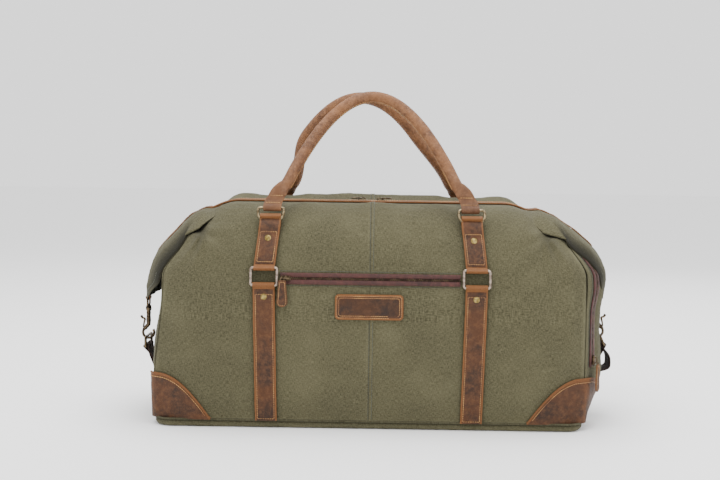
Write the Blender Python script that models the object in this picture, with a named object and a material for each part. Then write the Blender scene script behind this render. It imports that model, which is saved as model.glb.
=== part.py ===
"""Canvas and leather duffel bag, modelled as separate pieces.

Frame: origin at the middle of the base, +Z up, X along the bag's length, front facing -Y.
The design is written in millimetres and turned into metres when an object is made.
"""

import math

import bmesh
import bpy
from mathutils import Matrix, Vector

MM = 0.001
GAP = 0.4

# Driving dimensions of the body
HALF_LENGTH = 296.0
HALF_DEPTH = 126.0
RIDGE_HEIGHT = 309.0
WALL_TOP = 150.0
BASE_TOP = 9.6
PANEL_BOTTOM = 10.2
DOME_POWER = 2.8
CANVAS = 2.0
TAPER_START = 225.0
END_TAPER = 14.0
RIDGE_FLAT = 190.0
RIDGE_LOW = 330.0
RIDGE_DROP = 60.0
ZIP_SLOT = 9.0
END_BULGE = {-1: 10.0, 1: 40.0}
POCKET_LEAN = {-1: 0.0, 1: 0.6}

# Straps and hardware of the handle columns
STRAP_WIDTH = 30.0
STRAP_BOTTOM_X = 140.5
RING_X = 144.5
DRING_X = 138.5
WIRE = 2.0
RING_HALF_WIDTH = 17.8
RING_CORNER = 2.8
RING_LOW_Z = 197.5
RING_HIGH_Z = 220.5
BAR_OFFSET = 4.8
LEATHER = 1.6
DRING_LOW = (-100.8, 282.0)
DRING_LEAN = math.radians(24)
DRING_HEIGHT = 21.5
HANDLE_TOP = (-11.5, 460.0)
HANDLE_RADIUS = 8.3
HANDLE_LEG_X = 131.0
HANDLE_ARCH_FOOT = 306.0
HANDLE_LEAN = {"front": 0.0, "back": -17.0}

SIDES = (("left", -1), ("right", 1))
FACES = (("front", 1), ("back", -1))

COLOURS = {
    "canvas": ((0.235, 0.212, 0.122), 0.9, 0.0),
    "lining": ((0.18, 0.16, 0.12), 0.9, 0.0),
    "leather": ((0.30, 0.115, 0.038), 0.6, 0.0),
    "handle_leather": ((0.35, 0.165, 0.08), 0.6, 0.0),
    "zip_tape": ((0.15, 0.04, 0.035), 0.7, 0.0),
    "webbing": ((0.04, 0.025, 0.02), 0.85, 0.0),
    "board": ((0.45, 0.36, 0.24), 0.8, 0.0),
    "antique_brass": ((0.26, 0.2, 0.12), 0.4, 1.0),
    "nickel": ((0.45, 0.36, 0.28), 0.35, 1.0),
    "dark_bronze": ((0.1, 0.07, 0.04), 0.45, 1.0),
}


# ---------------------------------------------------------------- object making

def clear_scene():
    for old in list(bpy.data.objects):
        bpy.data.objects.remove(old)


def material(name, kind):
    colour, roughness, metallic = COLOURS[kind]
    mat = bpy.data.materials.new(name)
    mat.use_nodes = True
    shader = mat.node_tree.nodes["Principled BSDF"]
    shader.inputs["Base Color"].default_value = (*colour, 1.0)
    shader.inputs["Roughness"].default_value = roughness
    shader.inputs["Metallic"].default_value = metallic
    mat.diffuse_color = (*colour, 1.0)
    return mat


def make(name, mesh_data, kind, pivot=(0.0, 0.0, 0.0), parent=None, cutter=False):
    """Makes an object from points in millimetres, with its origin at the pivot."""
    points, faces = mesh_data
    mesh = bpy.data.meshes.new(name)
    origin = Vector(pivot)
    mesh.from_pydata([(Vector(p) - origin) * MM for p in points], [], faces)
    work = bmesh.new()
    work.from_mesh(mesh)
    bmesh.ops.recalc_face_normals(work, faces=work.faces)
    work.to_mesh(mesh)
    work.free()
    mesh.shade_smooth()
    mesh.set_sharp_from_angle(angle=math.radians(35))
    mesh.materials.append(material(name, kind))
    obj = bpy.data.objects.new(name, mesh)
    bpy.context.scene.collection.objects.link(obj)
    obj.location = origin * MM
    if parent is not None:
        bpy.context.view_layer.update()
        obj.parent = parent
        obj.matrix_parent_inverse = parent.matrix_world.inverted()
    if cutter:
        obj.hide_render = True
        obj.display_type = "WIRE"
    return obj


def boolean(obj, tool, operation):
    step = obj.modifiers.new(tool.name, "BOOLEAN")
    step.operation = operation
    step.object = tool
    step.solver = "EXACT"


def mirrored(mesh_data, flip_y):
    """The same shape on the back of the bag, where flip_y is -1."""
    points, faces = mesh_data
    return [(p[0], p[1] * flip_y, p[2]) for p in points], faces


# ---------------------------------------------------------------- shape helpers

def ease(low, high, value):
    """A smooth step from 0 at low to 1 at high."""
    t = min(max((value - low) / (high - low), 0.0), 1.0)
    return t * t * (3.0 - 2.0 * t)


def spread(low, high, count):
    return [low + (high - low) * i / (count - 1) for i in range(count)]


def shell_patch(rows):
    """A closed plate from rows of (outer point, inner point) pairs."""
    height = len(rows)
    width = len(rows[0])
    points = [pair[0] for row in rows for pair in row]
    points += [pair[1] for row in rows for pair in row]
    inner = height * width

    def at(i, j, layer=0):
        return layer + i * width + j

    faces = []
    for i in range(height - 1):
        for j in range(width - 1):
            faces.append((at(i, j), at(i, j + 1), at(i + 1, j + 1), at(i + 1, j)))
            faces.append((at(i, j, inner), at(i + 1, j, inner), at(i + 1, j + 1, inner), at(i, j + 1, inner)))
    for j in range(width - 1):
        faces.append((at(0, j), at(0, j, inner), at(0, j + 1, inner), at(0, j + 1)))
        last = height - 1
        faces.append((at(last, j), at(last, j + 1), at(last, j + 1, inner), at(last, j, inner)))
    for i in range(height - 1):
        faces.append((at(i, 0), at(i + 1, 0), at(i + 1, 0, inner), at(i, 0, inner)))
        last = width - 1
        faces.append((at(i, last), at(i, last, inner), at(i + 1, last, inner), at(i + 1, last)))
    return points, faces


def ring_stack(loops, closed=False):
    """Joins loops of equal length; the ends are capped unless the stack closes on itself."""
    size = len(loops[0])
    points = [p for loop in loops for p in loop]
    faces = []
    spans = len(loops) if closed else len(loops) - 1
    for i in range(spans):
        here = i * size
        after = ((i + 1) % len(loops)) * size
        for j in range(size):
            k = (j + 1) % size
            faces.append((here + j, here + k, after + k, after + j))
    if not closed:
        faces.append(tuple(reversed(range(size))))
        faces.append(tuple(range((len(loops) - 1) * size, len(loops) * size)))
    return points, faces


def wire_loop(path, radius, sides=6):
    """A closed ring of round wire along a closed path."""
    count = len(path)
    centre = sum((Vector(p) for p in path), Vector()) / count
    loops = []
    for i, point in enumerate(path):
        here = Vector(point)
        along = (Vector(path[(i + 1) % count]) - Vector(path[i - 1])).normalized()
        outward = here - centre
        outward = (outward - along * outward.dot(along)).normalized()
        side = along.cross(outward)
        loops.append([tuple(here + outward * radius * math.cos(a) + side * radius * math.sin(a))
                      for a in (2 * math.pi * k / sides for k in range(sides))])
    return ring_stack(loops, closed=True)


def tube(path, radii, sides=8, up=(0.0, 1.0, 0.0)):
    """A round bar with a changing radius along an open path."""
    loops = []
    for i, point in enumerate(path):
        before = Vector(path[max(i - 1, 0)])
        after = Vector(path[min(i + 1, len(path) - 1)])
        along = (after - before).normalized()
        side = Vector(up)
        side = (side - along * side.dot(along)).normalized()
        other = along.cross(side)
        loops.append([tuple(Vector(point) + side * radii[i] * math.cos(a) + other * radii[i] * math.sin(a))
                      for a in (2 * math.pi * k / sides for k in range(sides))])
    return ring_stack(loops)


def ribbon(path, thickness, centre_x, width):
    """A flat strap of even thickness whose middle line runs through (y, z) points.

    centre_x is a function of a point's height that gives the strap's middle along X.
    """
    loops = []
    for i, (y, z) in enumerate(path):
        before = Vector(path[max(i - 1, 0)])
        after = Vector(path[min(i + 1, len(path) - 1)])
        along = (after - before).normalized()
        normal = Vector((along.y, -along.x)) * thickness / 2
        left = centre_x(z) - width / 2
        right = centre_x(z) + width / 2
        loops.append([
            (left, y + normal.x, z + normal.y),
            (right, y + normal.x, z + normal.y),
            (right, y - normal.x, z - normal.y),
            (left, y - normal.x, z - normal.y),
        ])
    return ring_stack(loops)


def arc(centre, radius, start, end, count):
    """Points round a centre in a plane, angles in degrees."""
    return [(centre[0] + radius * math.cos(math.radians(a)), centre[1] + radius * math.sin(math.radians(a)))
            for a in spread(start, end, count)]


def rounded_rectangle(half_x, half_y, radius, steps=4):
    """An outline in two coordinates, anticlockwise."""
    outline = []
    corners = ((1, 1, 0), (-1, 1, 90), (-1, -1, 180), (1, -1, 270))
    for sx, sy, start in corners:
        centre = (sx * (half_x - radius), sy * (half_y - radius))
        outline += arc(centre, radius, start, start + 90, steps + 1)
    return outline


def block(centre, size, bevel):
    """A box with cut edges along its height, for small metal bodies."""
    outline = rounded_rectangle(size[0] / 2, size[1] / 2, bevel, 1)
    low = centre[2] - size[2] / 2
    high = centre[2] + size[2] / 2
    loops = [[(centre[0] + x, centre[1] + y, z) for x, y in outline] for z in (low, high)]
    return ring_stack(loops)


# ---------------------------------------------------------------- body surface

def ridge(x):
    """Height of the top ridge, which falls towards the ends."""
    return RIDGE_HEIGHT - RIDGE_DROP * ease(RIDGE_FLAT, RIDGE_LOW, abs(x))


def half_depth(x):
    """Greatest half depth, which tapers at the ends so that the upright corners are round."""
    over = max(abs(x) - TAPER_START, 0.0) / (HALF_LENGTH - TAPER_START)
    return HALF_DEPTH - END_TAPER * over * over


def depth_at(x, z):
    """Half depth of the outer surface at a height."""
    full = half_depth(x)
    if z <= WALL_TOP:
        return full - 8.0 * ((WALL_TOP - z) / WALL_TOP) ** 2
    rise = min((z - WALL_TOP) / (ridge(x) - WALL_TOP), 1.0)
    sine = rise ** (DOME_POWER / 2)
    cosine = math.sqrt(max(1.0 - sine * sine, 0.0))
    return full * cosine ** (2 / DOME_POWER)


def profile_point(x, t):
    """Point (y, z) on the front half: t from 0 at the base to 1 at the ridge."""
    wall_share = 0.45
    if t < wall_share:
        z = PANEL_BOTTOM + (WALL_TOP - PANEL_BOTTOM) * t / wall_share
        return -depth_at(x, z), z
    angle = math.pi / 2 * (t - wall_share) / (1 - wall_share)
    y = half_depth(x) * math.cos(angle) ** (2 / DOME_POWER)
    z = WALL_TOP + (ridge(x) - WALL_TOP) * math.sin(angle) ** (2 / DOME_POWER)
    return -y, z


def profile_normal(x, t):
    """Outward direction (y, z) of the front half."""
    step = 0.01
    low = profile_point(x, max(t - step, 0.0))
    high = profile_point(x, min(t + step, 1.0))
    along = Vector((high[0] - low[0], high[1] - low[1])).normalized()
    return Vector((-along.y, along.x))


def front_offset(x, t, offset):
    """A 3-D point at a distance outside the front surface."""
    y, z = profile_point(x, t)
    normal = profile_normal(x, t)
    return (x, y + normal.x * offset, z + normal.y * offset)


def t_at_height(x, height):
    """The profile value whose point has this height."""
    low = 0.0
    high = 1.0
    for _ in range(40):
        middle = (low + high) / 2
        if profile_point(x, middle)[1] < height:
            low = middle
        else:
            high = middle
    return (low + high) / 2


def t_at_depth(x, y):
    """The profile value near the ridge whose point is this far from the middle plane."""
    low = 0.5
    high = 1.0
    for _ in range(40):
        middle = (low + high) / 2
        if abs(profile_point(x, middle)[0]) > y:
            low = middle
        else:
            high = middle
    return (low + high) / 2


def surface_line(x, low_z, high_z, offset, count):
    """Points (y, z) up the front surface at a distance outside it."""
    line = []
    for z in spread(low_z, high_z, count):
        point = front_offset(x, t_at_height(x, z), offset)
        line.append((point[1], point[2]))
    return line


def end_x(side, y, z):
    """Outer surface of an end panel, as a distance from the middle along X."""
    width = max(depth_at(HALF_LENGTH, z), 1.0)
    across = max(1.0 - (y / width) ** 2, 0.0)
    swell = math.sin(math.pi / 2 * min(z / 80.0, 1.0)) * (1.0 - ease(130.0, 185.0, z))
    lean = 1.0 - POCKET_LEAN[side] * ease(-70.0, 10.0, y)
    return HALF_LENGTH + GAP + CANVAS + END_BULGE[side] * across * swell * lean


# ---------------------------------------------------------------- canvas body

PANEL_STATIONS = (GAP / 2, 60.0, 120.0, 180.0, 205.0, 230.0, 255.0, 275.0, HALF_LENGTH)


def wrap_panel(stations, levels, outer, thickness):
    """A plate that follows the front surface over places along X and profile values."""
    grid = []
    for t in levels:
        grid.append([(front_offset(x, t, outer), front_offset(x, t, outer - thickness)) for x in stations])
    return shell_patch(grid)


def canvas_panels():
    top = t_at_depth(0.0, ZIP_SLOT)
    for face, flip in FACES:
        for end, side in SIDES:
            stations = [side * x for x in PANEL_STATIONS]
            panel = wrap_panel(stations, spread(0.0, 0.45, 4) + spread(0.5, top, 11), 0.0, CANVAS)
            make(f"{face}_panel_{end}", mirrored(panel, flip), "canvas")


def end_panels():
    for end, side in SIDES:
        grid = []
        top = ridge(HALF_LENGTH) - 2.0
        upper = [105.0, 130.0, 142.0, 157.0, 172.0, 186.0, 215.0, 235.0, top]
        for z in spread(PANEL_BOTTOM, 80.0, 5) + upper:
            width = depth_at(HALF_LENGTH, z) - GAP
            row = []
            for share in spread(-1.0, 1.0, 9):
                y = width * share
                outer = end_x(side, y, z)
                row.append(((side * outer, y, z), (side * (outer - CANVAS), y, z)))
            grid.append(row)
        make(f"end_panel_{end}", shell_patch(grid), "canvas")


def base():
    half_x = HALF_LENGTH + 1.0
    half_y = HALF_DEPTH - 8.0

    def loop(inset, z, radius=26.0):
        return [(x, y, z) for x, y in rounded_rectangle(half_x - inset, half_y - inset, radius - inset)]

    tray = [loop(5.0, 0.0), loop(0.0, 4.0), loop(0.0, BASE_TOP),
            loop(CANVAS, BASE_TOP), loop(CANVAS, 4.8), loop(CANVAS + 5.0, CANVAS)]
    make("base_panel", ring_stack(tray), "canvas")
    board_inset = CANVAS + 6.0
    low = CANVAS + GAP
    make("base_board", ring_stack([loop(board_inset, low), loop(board_inset, low + 4.0)]), "board")


def lining():
    """The inner bag: one thin shell, open along the zip slot."""
    def blob(inset, floor):
        loops = []
        stations = [-HALF_LENGTH + inset, -250.0, -190.0, -95.0, 95.0, 190.0, 250.0, HALF_LENGTH - inset]
        for x in stations:
            front = [front_offset(x, t, -inset) for t in [0.0, 0.2, 0.45, 0.56, 0.66, 0.76, 0.88]]
            front = [(p[0], p[1], max(p[2], floor)) for p in front]
            top_z = ridge(x) - inset
            back = [(p[0], -p[1], p[2]) for p in reversed(front)]
            loops.append(front + [(x, 0.0, top_z)] + back)
        return ring_stack(loops)

    shell = make("lining", blob(4.2, 7.4), "lining")
    hollow = make("lining_hollow", blob(5.4, 8.6), "lining", cutter=True)
    slot_half = (235.0, ZIP_SLOT)
    outline = [(sx * slot_half[0], sy * slot_half[1]) for sx, sy in ((1, 1), (-1, 1), (-1, -1), (1, -1))]
    loops = [[(x, y, z) for x, y in outline] for z in (200.0, 330.0)]
    slot = make("lining_slot", ring_stack(loops), "lining", cutter=True)
    boolean(shell, hollow, "DIFFERENCE")
    boolean(shell, slot, "DIFFERENCE")


def pouches():
    """The flat pocket bags that hang behind the front zip and the end zip."""
    low = t_at_height(0.0, 60.0)
    high = t_at_height(0.0, 214.0)
    pouch = wrap_panel(spread(-118.0, 118.0, 3), spread(low, high, 7), -CANVAS - GAP, 1.2)
    make("front_pocket_pouch", pouch, "lining")
    grid = []
    for z in spread(45.0, 190.0, 8):
        row = []
        for y in spread(-84.0, 60.0, 6):
            outer = end_x(1, y, z) - CANVAS - 3.0
            row.append(((outer, y, z), (outer - 1.2, y, z)))
        grid.append(row)
    make("side_pocket_pouch", shell_patch(grid), "lining")


WING_ARC = ((252.0, 297.0), (277.0, 286.0), (301.0, 267.0), (318.0, 242.0), (328.0, 217.0), (329.0, 194.0),
            (321.0, 172.0))
WING_LEAN = (68.0, 62.0, 50.0, 32.0, 14.0, 0.0, -8.0)
WING_HALF = (72.0, 82.0, 88.0, 84.0, 70.0, 45.0, 15.0)
WING_CURL = (8.0, 9.0, 8.0, 8.0, 14.0, 12.0, 4.0)
WING_THICK = 7.0
WING_STRETCH = {-1: 0.0, 1: -12.0}
WING_PUSH = {-1: 0.0, 1: 9.0}


def wings():
    """The folded ends of the top, which hang over each end of the bag."""
    for end, side in SIDES:
        grid = []
        for (x, z), lean, half, curl in zip(WING_ARC, WING_LEAN, WING_HALF, WING_CURL):
            low_share = ease(267.0, 190.0, z)
            x += WING_PUSH[side] * low_share
            z -= WING_STRETCH[side] * low_share
            inward = (-math.cos(math.radians(lean)), -math.sin(math.radians(lean)))
            row = []
            for share in spread(-1.0, 1.0, 7):
                sink = curl * abs(share) ** 2.2
                outer = (side * (x + inward[0] * sink), half * share, z + inward[1] * sink)
                depth = sink + WING_THICK
                inner = (side * (x + inward[0] * depth), half * share, z + inward[1] * depth)
                row.append((outer, inner))
            grid.append(row)
        make(f"wing_{end}", shell_patch(grid), "canvas")


# ---------------------------------------------------------------- leather straps and patches

def bar_centre(z):
    """Where a bar of the rectangular ring lies, (y, z), just outside the front surface."""
    point = front_offset(RING_X, t_at_height(RING_X, z), BAR_OFFSET)
    return point[1], point[2]


def strap_x(side):
    """Middle of a handle column along X, which leans with height."""
    heights = (PANEL_BOTTOM, RING_LOW_Z, RING_HIGH_Z, DRING_LOW[1])
    places = (STRAP_BOTTOM_X, RING_X, RING_X, DRING_X)

    def centre(z):
        z = min(max(z, heights[0]), heights[-1])
        for i in range(3):
            if z <= heights[i + 1]:
                share = (z - heights[i]) / (heights[i + 1] - heights[i])
                return side * (places[i] + (places[i + 1] - places[i]) * share)
        return side * places[-1]

    return centre


LAYER_IN = 0.5 + LEATHER / 2
LAYER_OUT = LAYER_IN + LEATHER + 0.3
LOOP_RADIUS = WIRE + 0.5 + LEATHER / 2


def lower_strap_path():
    """Up the front of the bag, over the ring's low bar and down behind it."""
    bar = bar_centre(RING_LOW_Z)
    path = surface_line(RING_X, PANEL_BOTTOM + 0.3, 120.0, LAYER_IN, 6)
    path += surface_line(RING_X, 145.0, RING_LOW_Z - 9.0, LAYER_OUT, 3)
    path += arc(bar, LOOP_RADIUS, 200.0, 0.0, 7)
    path += surface_line(RING_X, RING_LOW_Z - 7.5, RING_LOW_Z - 27.0, LAYER_IN, 3)
    return path


def dring_frame():
    """The D-ring's low point, its upward direction and its straight bar, in (y, z)."""
    low = Vector(DRING_LOW)
    rise = Vector((math.sin(DRING_LEAN), math.cos(DRING_LEAN)))
    return low, rise, low + rise * DRING_HEIGHT


def link_path():
    """A closed band from the ring's high bar to the D-ring, with its butt joint behind."""
    bar = bar_centre(RING_HIGH_Z)
    low, rise, _ = dring_frame()
    curve = 7.6
    crown = low + rise * curve
    middle = 249.0
    path = surface_line(RING_X, middle, RING_HIGH_Z + 6.0, LAYER_IN, 4)
    path += arc(bar, LOOP_RADIUS, 0.0, -190.0, 7)
    path += surface_line(RING_X, RING_HIGH_Z + 8.0, 264.0, LAYER_OUT, 5)
    wide = LOOP_RADIUS + 1.0
    path += [tuple(low + Vector((-wide, -0.5)))]
    path += arc(tuple(crown), wide, 160.0, 10.0, 5)
    path += [tuple(low + Vector((wide, -1.5)))]
    path += surface_line(RING_X, 267.0, middle + 0.6, LAYER_IN, 4)
    return path


def straps():
    for face, flip in FACES:
        for end, side in SIDES:
            lower = ribbon(lower_strap_path(), LEATHER, strap_x(side), STRAP_WIDTH)
            make(f"{face}_strap_{end}", mirrored(lower, flip), "leather")


def corner_patches():
    """Leather over each low corner, with a rounded upper edge."""
    reach = 79.0
    wrap_round = 70.0
    tall = 62.0
    bottom = PANEL_BOTTOM + 0.3
    low_offset = 0.6
    thick = 1.4
    stations = spread(-reach, -10.0, 6) + [-2.0, 2.0, 6.0, 12.0] + spread(24.0, wrap_round, 4)

    def place(side, station, z, offset):
        if station <= -10.0:
            x = HALF_LENGTH + station
            return side * x, -(depth_at(x, z) + offset), z
        corner_y = depth_at(HALF_LENGTH, z)
        if station >= 12.0:
            y = -(corner_y - station)
            return side * (end_x(side, y, z) + offset + 2 * GAP), y, z
        share = (station + 2.0) / 8.0
        angle = math.pi / 2 * share
        reach_out = 3.8 + offset
        x = HALF_LENGTH + reach_out * math.sin(angle)
        y = -(corner_y - 1.2 + (1.2 + offset + 0.4) * math.cos(angle))
        if share <= 0.0:
            x = HALF_LENGTH - 2.0
            y = -(corner_y + offset + 0.4)
        return side * x, y, z

    for face, flip in FACES:
        for end, side in SIDES:
            grid = []
            for level in spread(0.0, 1.0, 6):
                row = []
                for station in stations:
                    share = abs(station) / (reach if station < 0.0 else wrap_round + 8.0)
                    top = max(tall * math.cos(math.pi / 2 * share ** 1.15), 1.5)
                    z = bottom + top * level
                    outer = place(side, station, z, low_offset + thick)
                    row.append((outer, place(side, station, z, low_offset)))
                grid.append(row)
            make(f"corner_patch_{face}_{end}", mirrored(shell_patch(grid), flip), "leather")


def ridge_stations(reach):
    """Places along the ridge that keep to the panels' own stations."""
    half = [x for x in PANEL_STATIONS[1:] if x < reach] + [reach]
    return [-x for x in reversed(half)] + [0.0] + half


def top_zip():
    """Leather trims along the opening and the zip tape between them."""
    for face, flip in FACES:
        grid = []
        for depth in (8.6, 14.0, 20.0):
            row = []
            for x in ridge_stations(244.0):
                t = t_at_depth(x, depth)
                row.append((front_offset(x, t, 2.1), front_offset(x, t, 0.6)))
            grid.append(row)
        make(f"zip_trim_{face}", mirrored(shell_patch(grid), flip), "leather")
    grid = []
    for y in (-8.0, 0.0, 8.0):
        grid.append([((x, y, ridge(x) - 0.3), (x, y, ridge(x) - 1.9)) for x in ridge_stations(240.0)])
    make("top_zip_tape", shell_patch(grid), "zip_tape")


def front_pocket():
    low = t_at_height(0.0, 199.2)
    high = t_at_height(0.0, 214.8)
    tape = wrap_panel(spread(-122.5, 122.5, 4), spread(low, high, 4), 2.1, LEATHER)
    make("front_zip_tape", tape, "zip_tape")
    low = t_at_height(0.0, 152.0)
    high = t_at_height(0.0, 187.0)
    label = wrap_panel(spread(-48.0, 46.0, 4), spread(low, high, 4), 2.1, LEATHER)
    make("label_patch", label, "leather")


def side_zip_line(z):
    """Middle of the end pocket's zip, (y) at a height, along the front edge of the end panel."""
    return -(min(depth_at(HALF_LENGTH, z), depth_at(HALF_LENGTH, WALL_TOP)) - 13.0)


def side_pocket():
    grid = []
    for z in spread(88.0, 226.0, 12):
        row = []
        for across in (-6.0, 0.0, 6.0):
            y = side_zip_line(z) + across
            outer = end_x(1, y, z)
            row.append(((outer + 2.0, y, z), (outer + 0.5, y, z)))
        grid.append(row)
    make("side_zip_tape", shell_patch(grid), "zip_tape")


# ---------------------------------------------------------------- handles and their hardware

def ring_path(side, low, high, half_width, radius, steps=2):
    """A rounded rectangle between two bars given as (y, z)."""
    low = Vector(low)
    high = Vector(high)
    half_height = (high - low).length / 2
    middle = (low + high) / 2
    rise = (high - low).normalized()
    path = []
    for across, up in rounded_rectangle(half_width, half_height, radius, steps):
        spot = middle + rise * up
        path.append((side * RING_X + across, spot.x, spot.y))
    return path


def dring_path(side):
    """A straight bar above a half-round bow."""
    low, rise, _ = dring_frame()
    half = RING_HALF_WIDTH
    bow = 14.5
    outline = [(half * math.cos(a), bow - bow * math.sin(a))
               for a in (math.radians(d) for d in (10, 30, 50, 70, 90, 110, 130, 150, 170))]
    outline += [(-half, DRING_HEIGHT - 3.5), (-half + 1.0, DRING_HEIGHT - 1.0), (-half + 3.5, DRING_HEIGHT),
                (half - 3.5, DRING_HEIGHT), (half - 1.0, DRING_HEIGHT - 1.0), (half, DRING_HEIGHT - 3.5)]
    path = []
    for across, up in outline:
        spot = low + rise * up
        path.append((side * DRING_X + across, spot.x, spot.y))
    return path


def handle_stations():
    """Sections of one half of a handle: (x, up, out, half width, half thickness, flat).

    up and out are measured from the D-ring's straight bar, along the handle's lean and away
    from the bag. The strap starts behind the bar, folds under it and rises in front.
    """
    _, _, bar = dring_frame()
    top = Vector(HANDLE_TOP)
    rise = (top - bar).normalized()
    thick = 2.2
    loop = WIRE + 0.7 + thick / 2
    layer = thick / 2 + 0.2
    flat_half = 12.5
    tab_x = DRING_X - 2.0

    stations = [(tab_x - 3.0, 16.0, -layer, flat_half, thick / 2, True),
                (tab_x, 6.5, -layer, flat_half, thick / 2, True)]
    for angle in (-60.0, -100.0, -140.0, -180.0, -220.0, -260.0, -300.0):
        turn = math.radians(angle)
        stations.append((tab_x, loop * math.cos(turn), loop * math.sin(turn), flat_half, thick / 2, True))
    stations.append((tab_x - 0.5, 6.5, layer, flat_half, thick / 2, True))
    stations.append((tab_x - 4.5, 16.0, layer, flat_half - 0.5, thick / 2, True))
    stations.append((tab_x - 9.0, 24.0, layer + 1.0, flat_half - 1.5, 3.0, False))
    stations.append((tab_x - 13.5, 31.0, 1.0, 9.5, 6.0, False))
    foot = (HANDLE_ARCH_FOOT - bar.y) / rise.y
    arch_tall = (top - bar).length - foot
    for x in spread(HANDLE_LEG_X * 0.9, 0.0, 10):
        up = foot + arch_tall * (1.0 - (x / HANDLE_LEG_X) ** 2)
        stations.append((x, up, 0.0, HANDLE_RADIUS, HANDLE_RADIUS, False))
    return bar, rise, stations


def handle_lean(face, x, up):
    """How far a soft handle flops along the bag, most on the leg it leans over."""
    return HANDLE_LEAN[face] * ease(40.0, 120.0, up) * (1.0 - 0.35 * x / HANDLE_LEG_X)


def handle_mesh(face):
    """A rolled handle whose flat ends fold round the D-rings' straight bars."""
    bar, rise, half = handle_stations()
    outward = Vector((-rise.y, rise.x))
    facing = Vector((0.0, outward.x, outward.y))
    sideways = Vector((1.0, 0.0, 0.0))
    whole = half + [(-s[0], *s[1:]) for s in reversed(half[:-1])]
    spots = []
    for x, up, out, *_ in whole:
        flat = bar + rise * up + outward * out
        spots.append(Vector((x + handle_lean(face, x, up), flat.x, flat.y)))
    corners = [math.radians(22.5 + 45.0 * k) for k in range(8)]
    loops = []
    for i, (_, _, _, half_wide, half_thick, flat) in enumerate(whole):
        before = spots[max(i - 1, 0)]
        after = spots[min(i + 1, len(spots) - 1)]
        along = (after - before).normalized()
        climbing = i < len(whole) / 2
        if flat:
            in_plane = Vector((0.0, along.y, along.z)).normalized()
            wide = sideways if climbing else -sideways
            deep = wide.cross(in_plane)
        else:
            wide = along.cross(facing).normalized()
            deep = wide.cross(along).normalized()
        power = 0.3 if flat else min(0.35 + 0.65 * (half_thick / half_wide), 1.0)
        ring = []
        for angle in corners:
            c = math.cos(angle)
            s = math.sin(angle)
            across = math.copysign(abs(c) ** power, c) * half_wide
            through = math.copysign(abs(s) ** power, s) * half_thick
            ring.append(tuple(spots[i] + wide * across + deep * through))
        loops.append(ring)
    return ring_stack(loops)


def handle_columns():
    low_bar = bar_centre(RING_LOW_Z)
    high_bar = bar_centre(RING_HIGH_Z)
    _, _, handle_bar = dring_frame()
    for face, flip in FACES:
        links = {}
        for end, side in SIDES:
            ring = wire_loop(ring_path(side, low_bar, high_bar, RING_HALF_WIDTH, RING_CORNER), WIRE)
            pivot = (side * RING_X, low_bar[0] * flip, low_bar[1])
            ring_obj = make(f"{face}_square_ring_{end}", mirrored(ring, flip), "nickel", pivot)
            band = ribbon(link_path(), LEATHER, strap_x(side), STRAP_WIDTH - 1.0)
            pivot = (side * RING_X, high_bar[0] * flip, high_bar[1])
            links[end] = make(f"{face}_link_{end}", mirrored(band, flip), "leather", pivot, ring_obj)
            dring = wire_loop(dring_path(side), WIRE)
            make(f"{face}_dring_{end}", mirrored(dring, flip), "antique_brass", pivot, links[end])
        pivot = (0.0, handle_bar.x * flip, handle_bar.y)
        make(f"handle_{face}", mirrored(handle_mesh(face), flip), "handle_leather", pivot, links["left"])


# ---------------------------------------------------------------- zip sliders and pulls

SLIDER_LENGTH = 13.0
SLIDER_WIDTH = 8.0
SLIDER_TALL = 3.6
FRONT_SLIDER_X = -114.5
FRONT_ZIP_HEIGHT = 207.0
SIDE_SLIDER_Z = 97.0
SIDE_SLIDER_TURN = -30.0
TOP_SLIDER_X = 13.0
PULL_WIDE = 15.0
PULL_NARROW = 9.0
PULL_THICK = 2.4
PULL_HOLE = 1.5
FRONT_PULL_LENGTH = 36.0
SIDE_PULL_LENGTH = 38.0


def pull_tab(pivot, length, wide, narrow, thick, hole):
    """A leather tongue that hangs from its pivot, in its own plane: (across, down, out)."""
    outline = []
    for across, down in ((-narrow / 2, 0.0), (narrow / 2, 0.0), (wide / 2 - 1.0, length * 0.55)):
        outline.append((across, down))
    for a in spread(0.0, 180.0, 7):
        turn = math.radians(a)
        outline.append((wide / 2 * math.cos(turn), length - wide * 0.45 + wide * 0.45 * math.sin(turn)))
    outline.append((-wide / 2 + 1.0, length * 0.55))
    points = []
    for across, down in outline:
        points.append((across, down + hole))
    return [[(pivot[0] + a, pivot[1] + o, pivot[2] - d) for a, d in points] for o in (-thick / 2, thick / 2)]


def turned(mesh_data, centre, axis, degrees):
    """The same shape turned about a line through a centre."""
    points, faces = mesh_data
    spin = Matrix.Rotation(math.radians(degrees), 3, axis)
    middle = Vector(centre)
    return [tuple(middle + spin @ (Vector(p) - middle)) for p in points], faces


def front_slider():
    """Slider at the left end of the front zip, with its leather pull hanging from its bridge."""
    seat = front_offset(FRONT_SLIDER_X, t_at_height(0.0, FRONT_ZIP_HEIGHT), 3.0)
    middle = (seat[0], seat[1] - SLIDER_TALL / 2, seat[2])
    body = block((0.0, 0.0, 0.0), (SLIDER_LENGTH, SLIDER_WIDTH, SLIDER_TALL), 2.0)
    upright = turned(body, (0.0, 0.0, 0.0), "X", 90.0)
    placed = ([(p[0] + middle[0], p[1] + middle[1], p[2] + middle[2]) for p in upright[0]], upright[1])
    slider = make("front_zip_slider", placed, "dark_bronze", middle)
    hook = (seat[0] - 4.6, seat[1] - SLIDER_TALL - 2.8, seat[2] - 1.0)
    tab = ring_stack(pull_tab(hook, FRONT_PULL_LENGTH, PULL_WIDE, PULL_NARROW, PULL_THICK, PULL_HOLE))
    make("front_zip_pull", tab, "leather", hook, slider)


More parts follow.
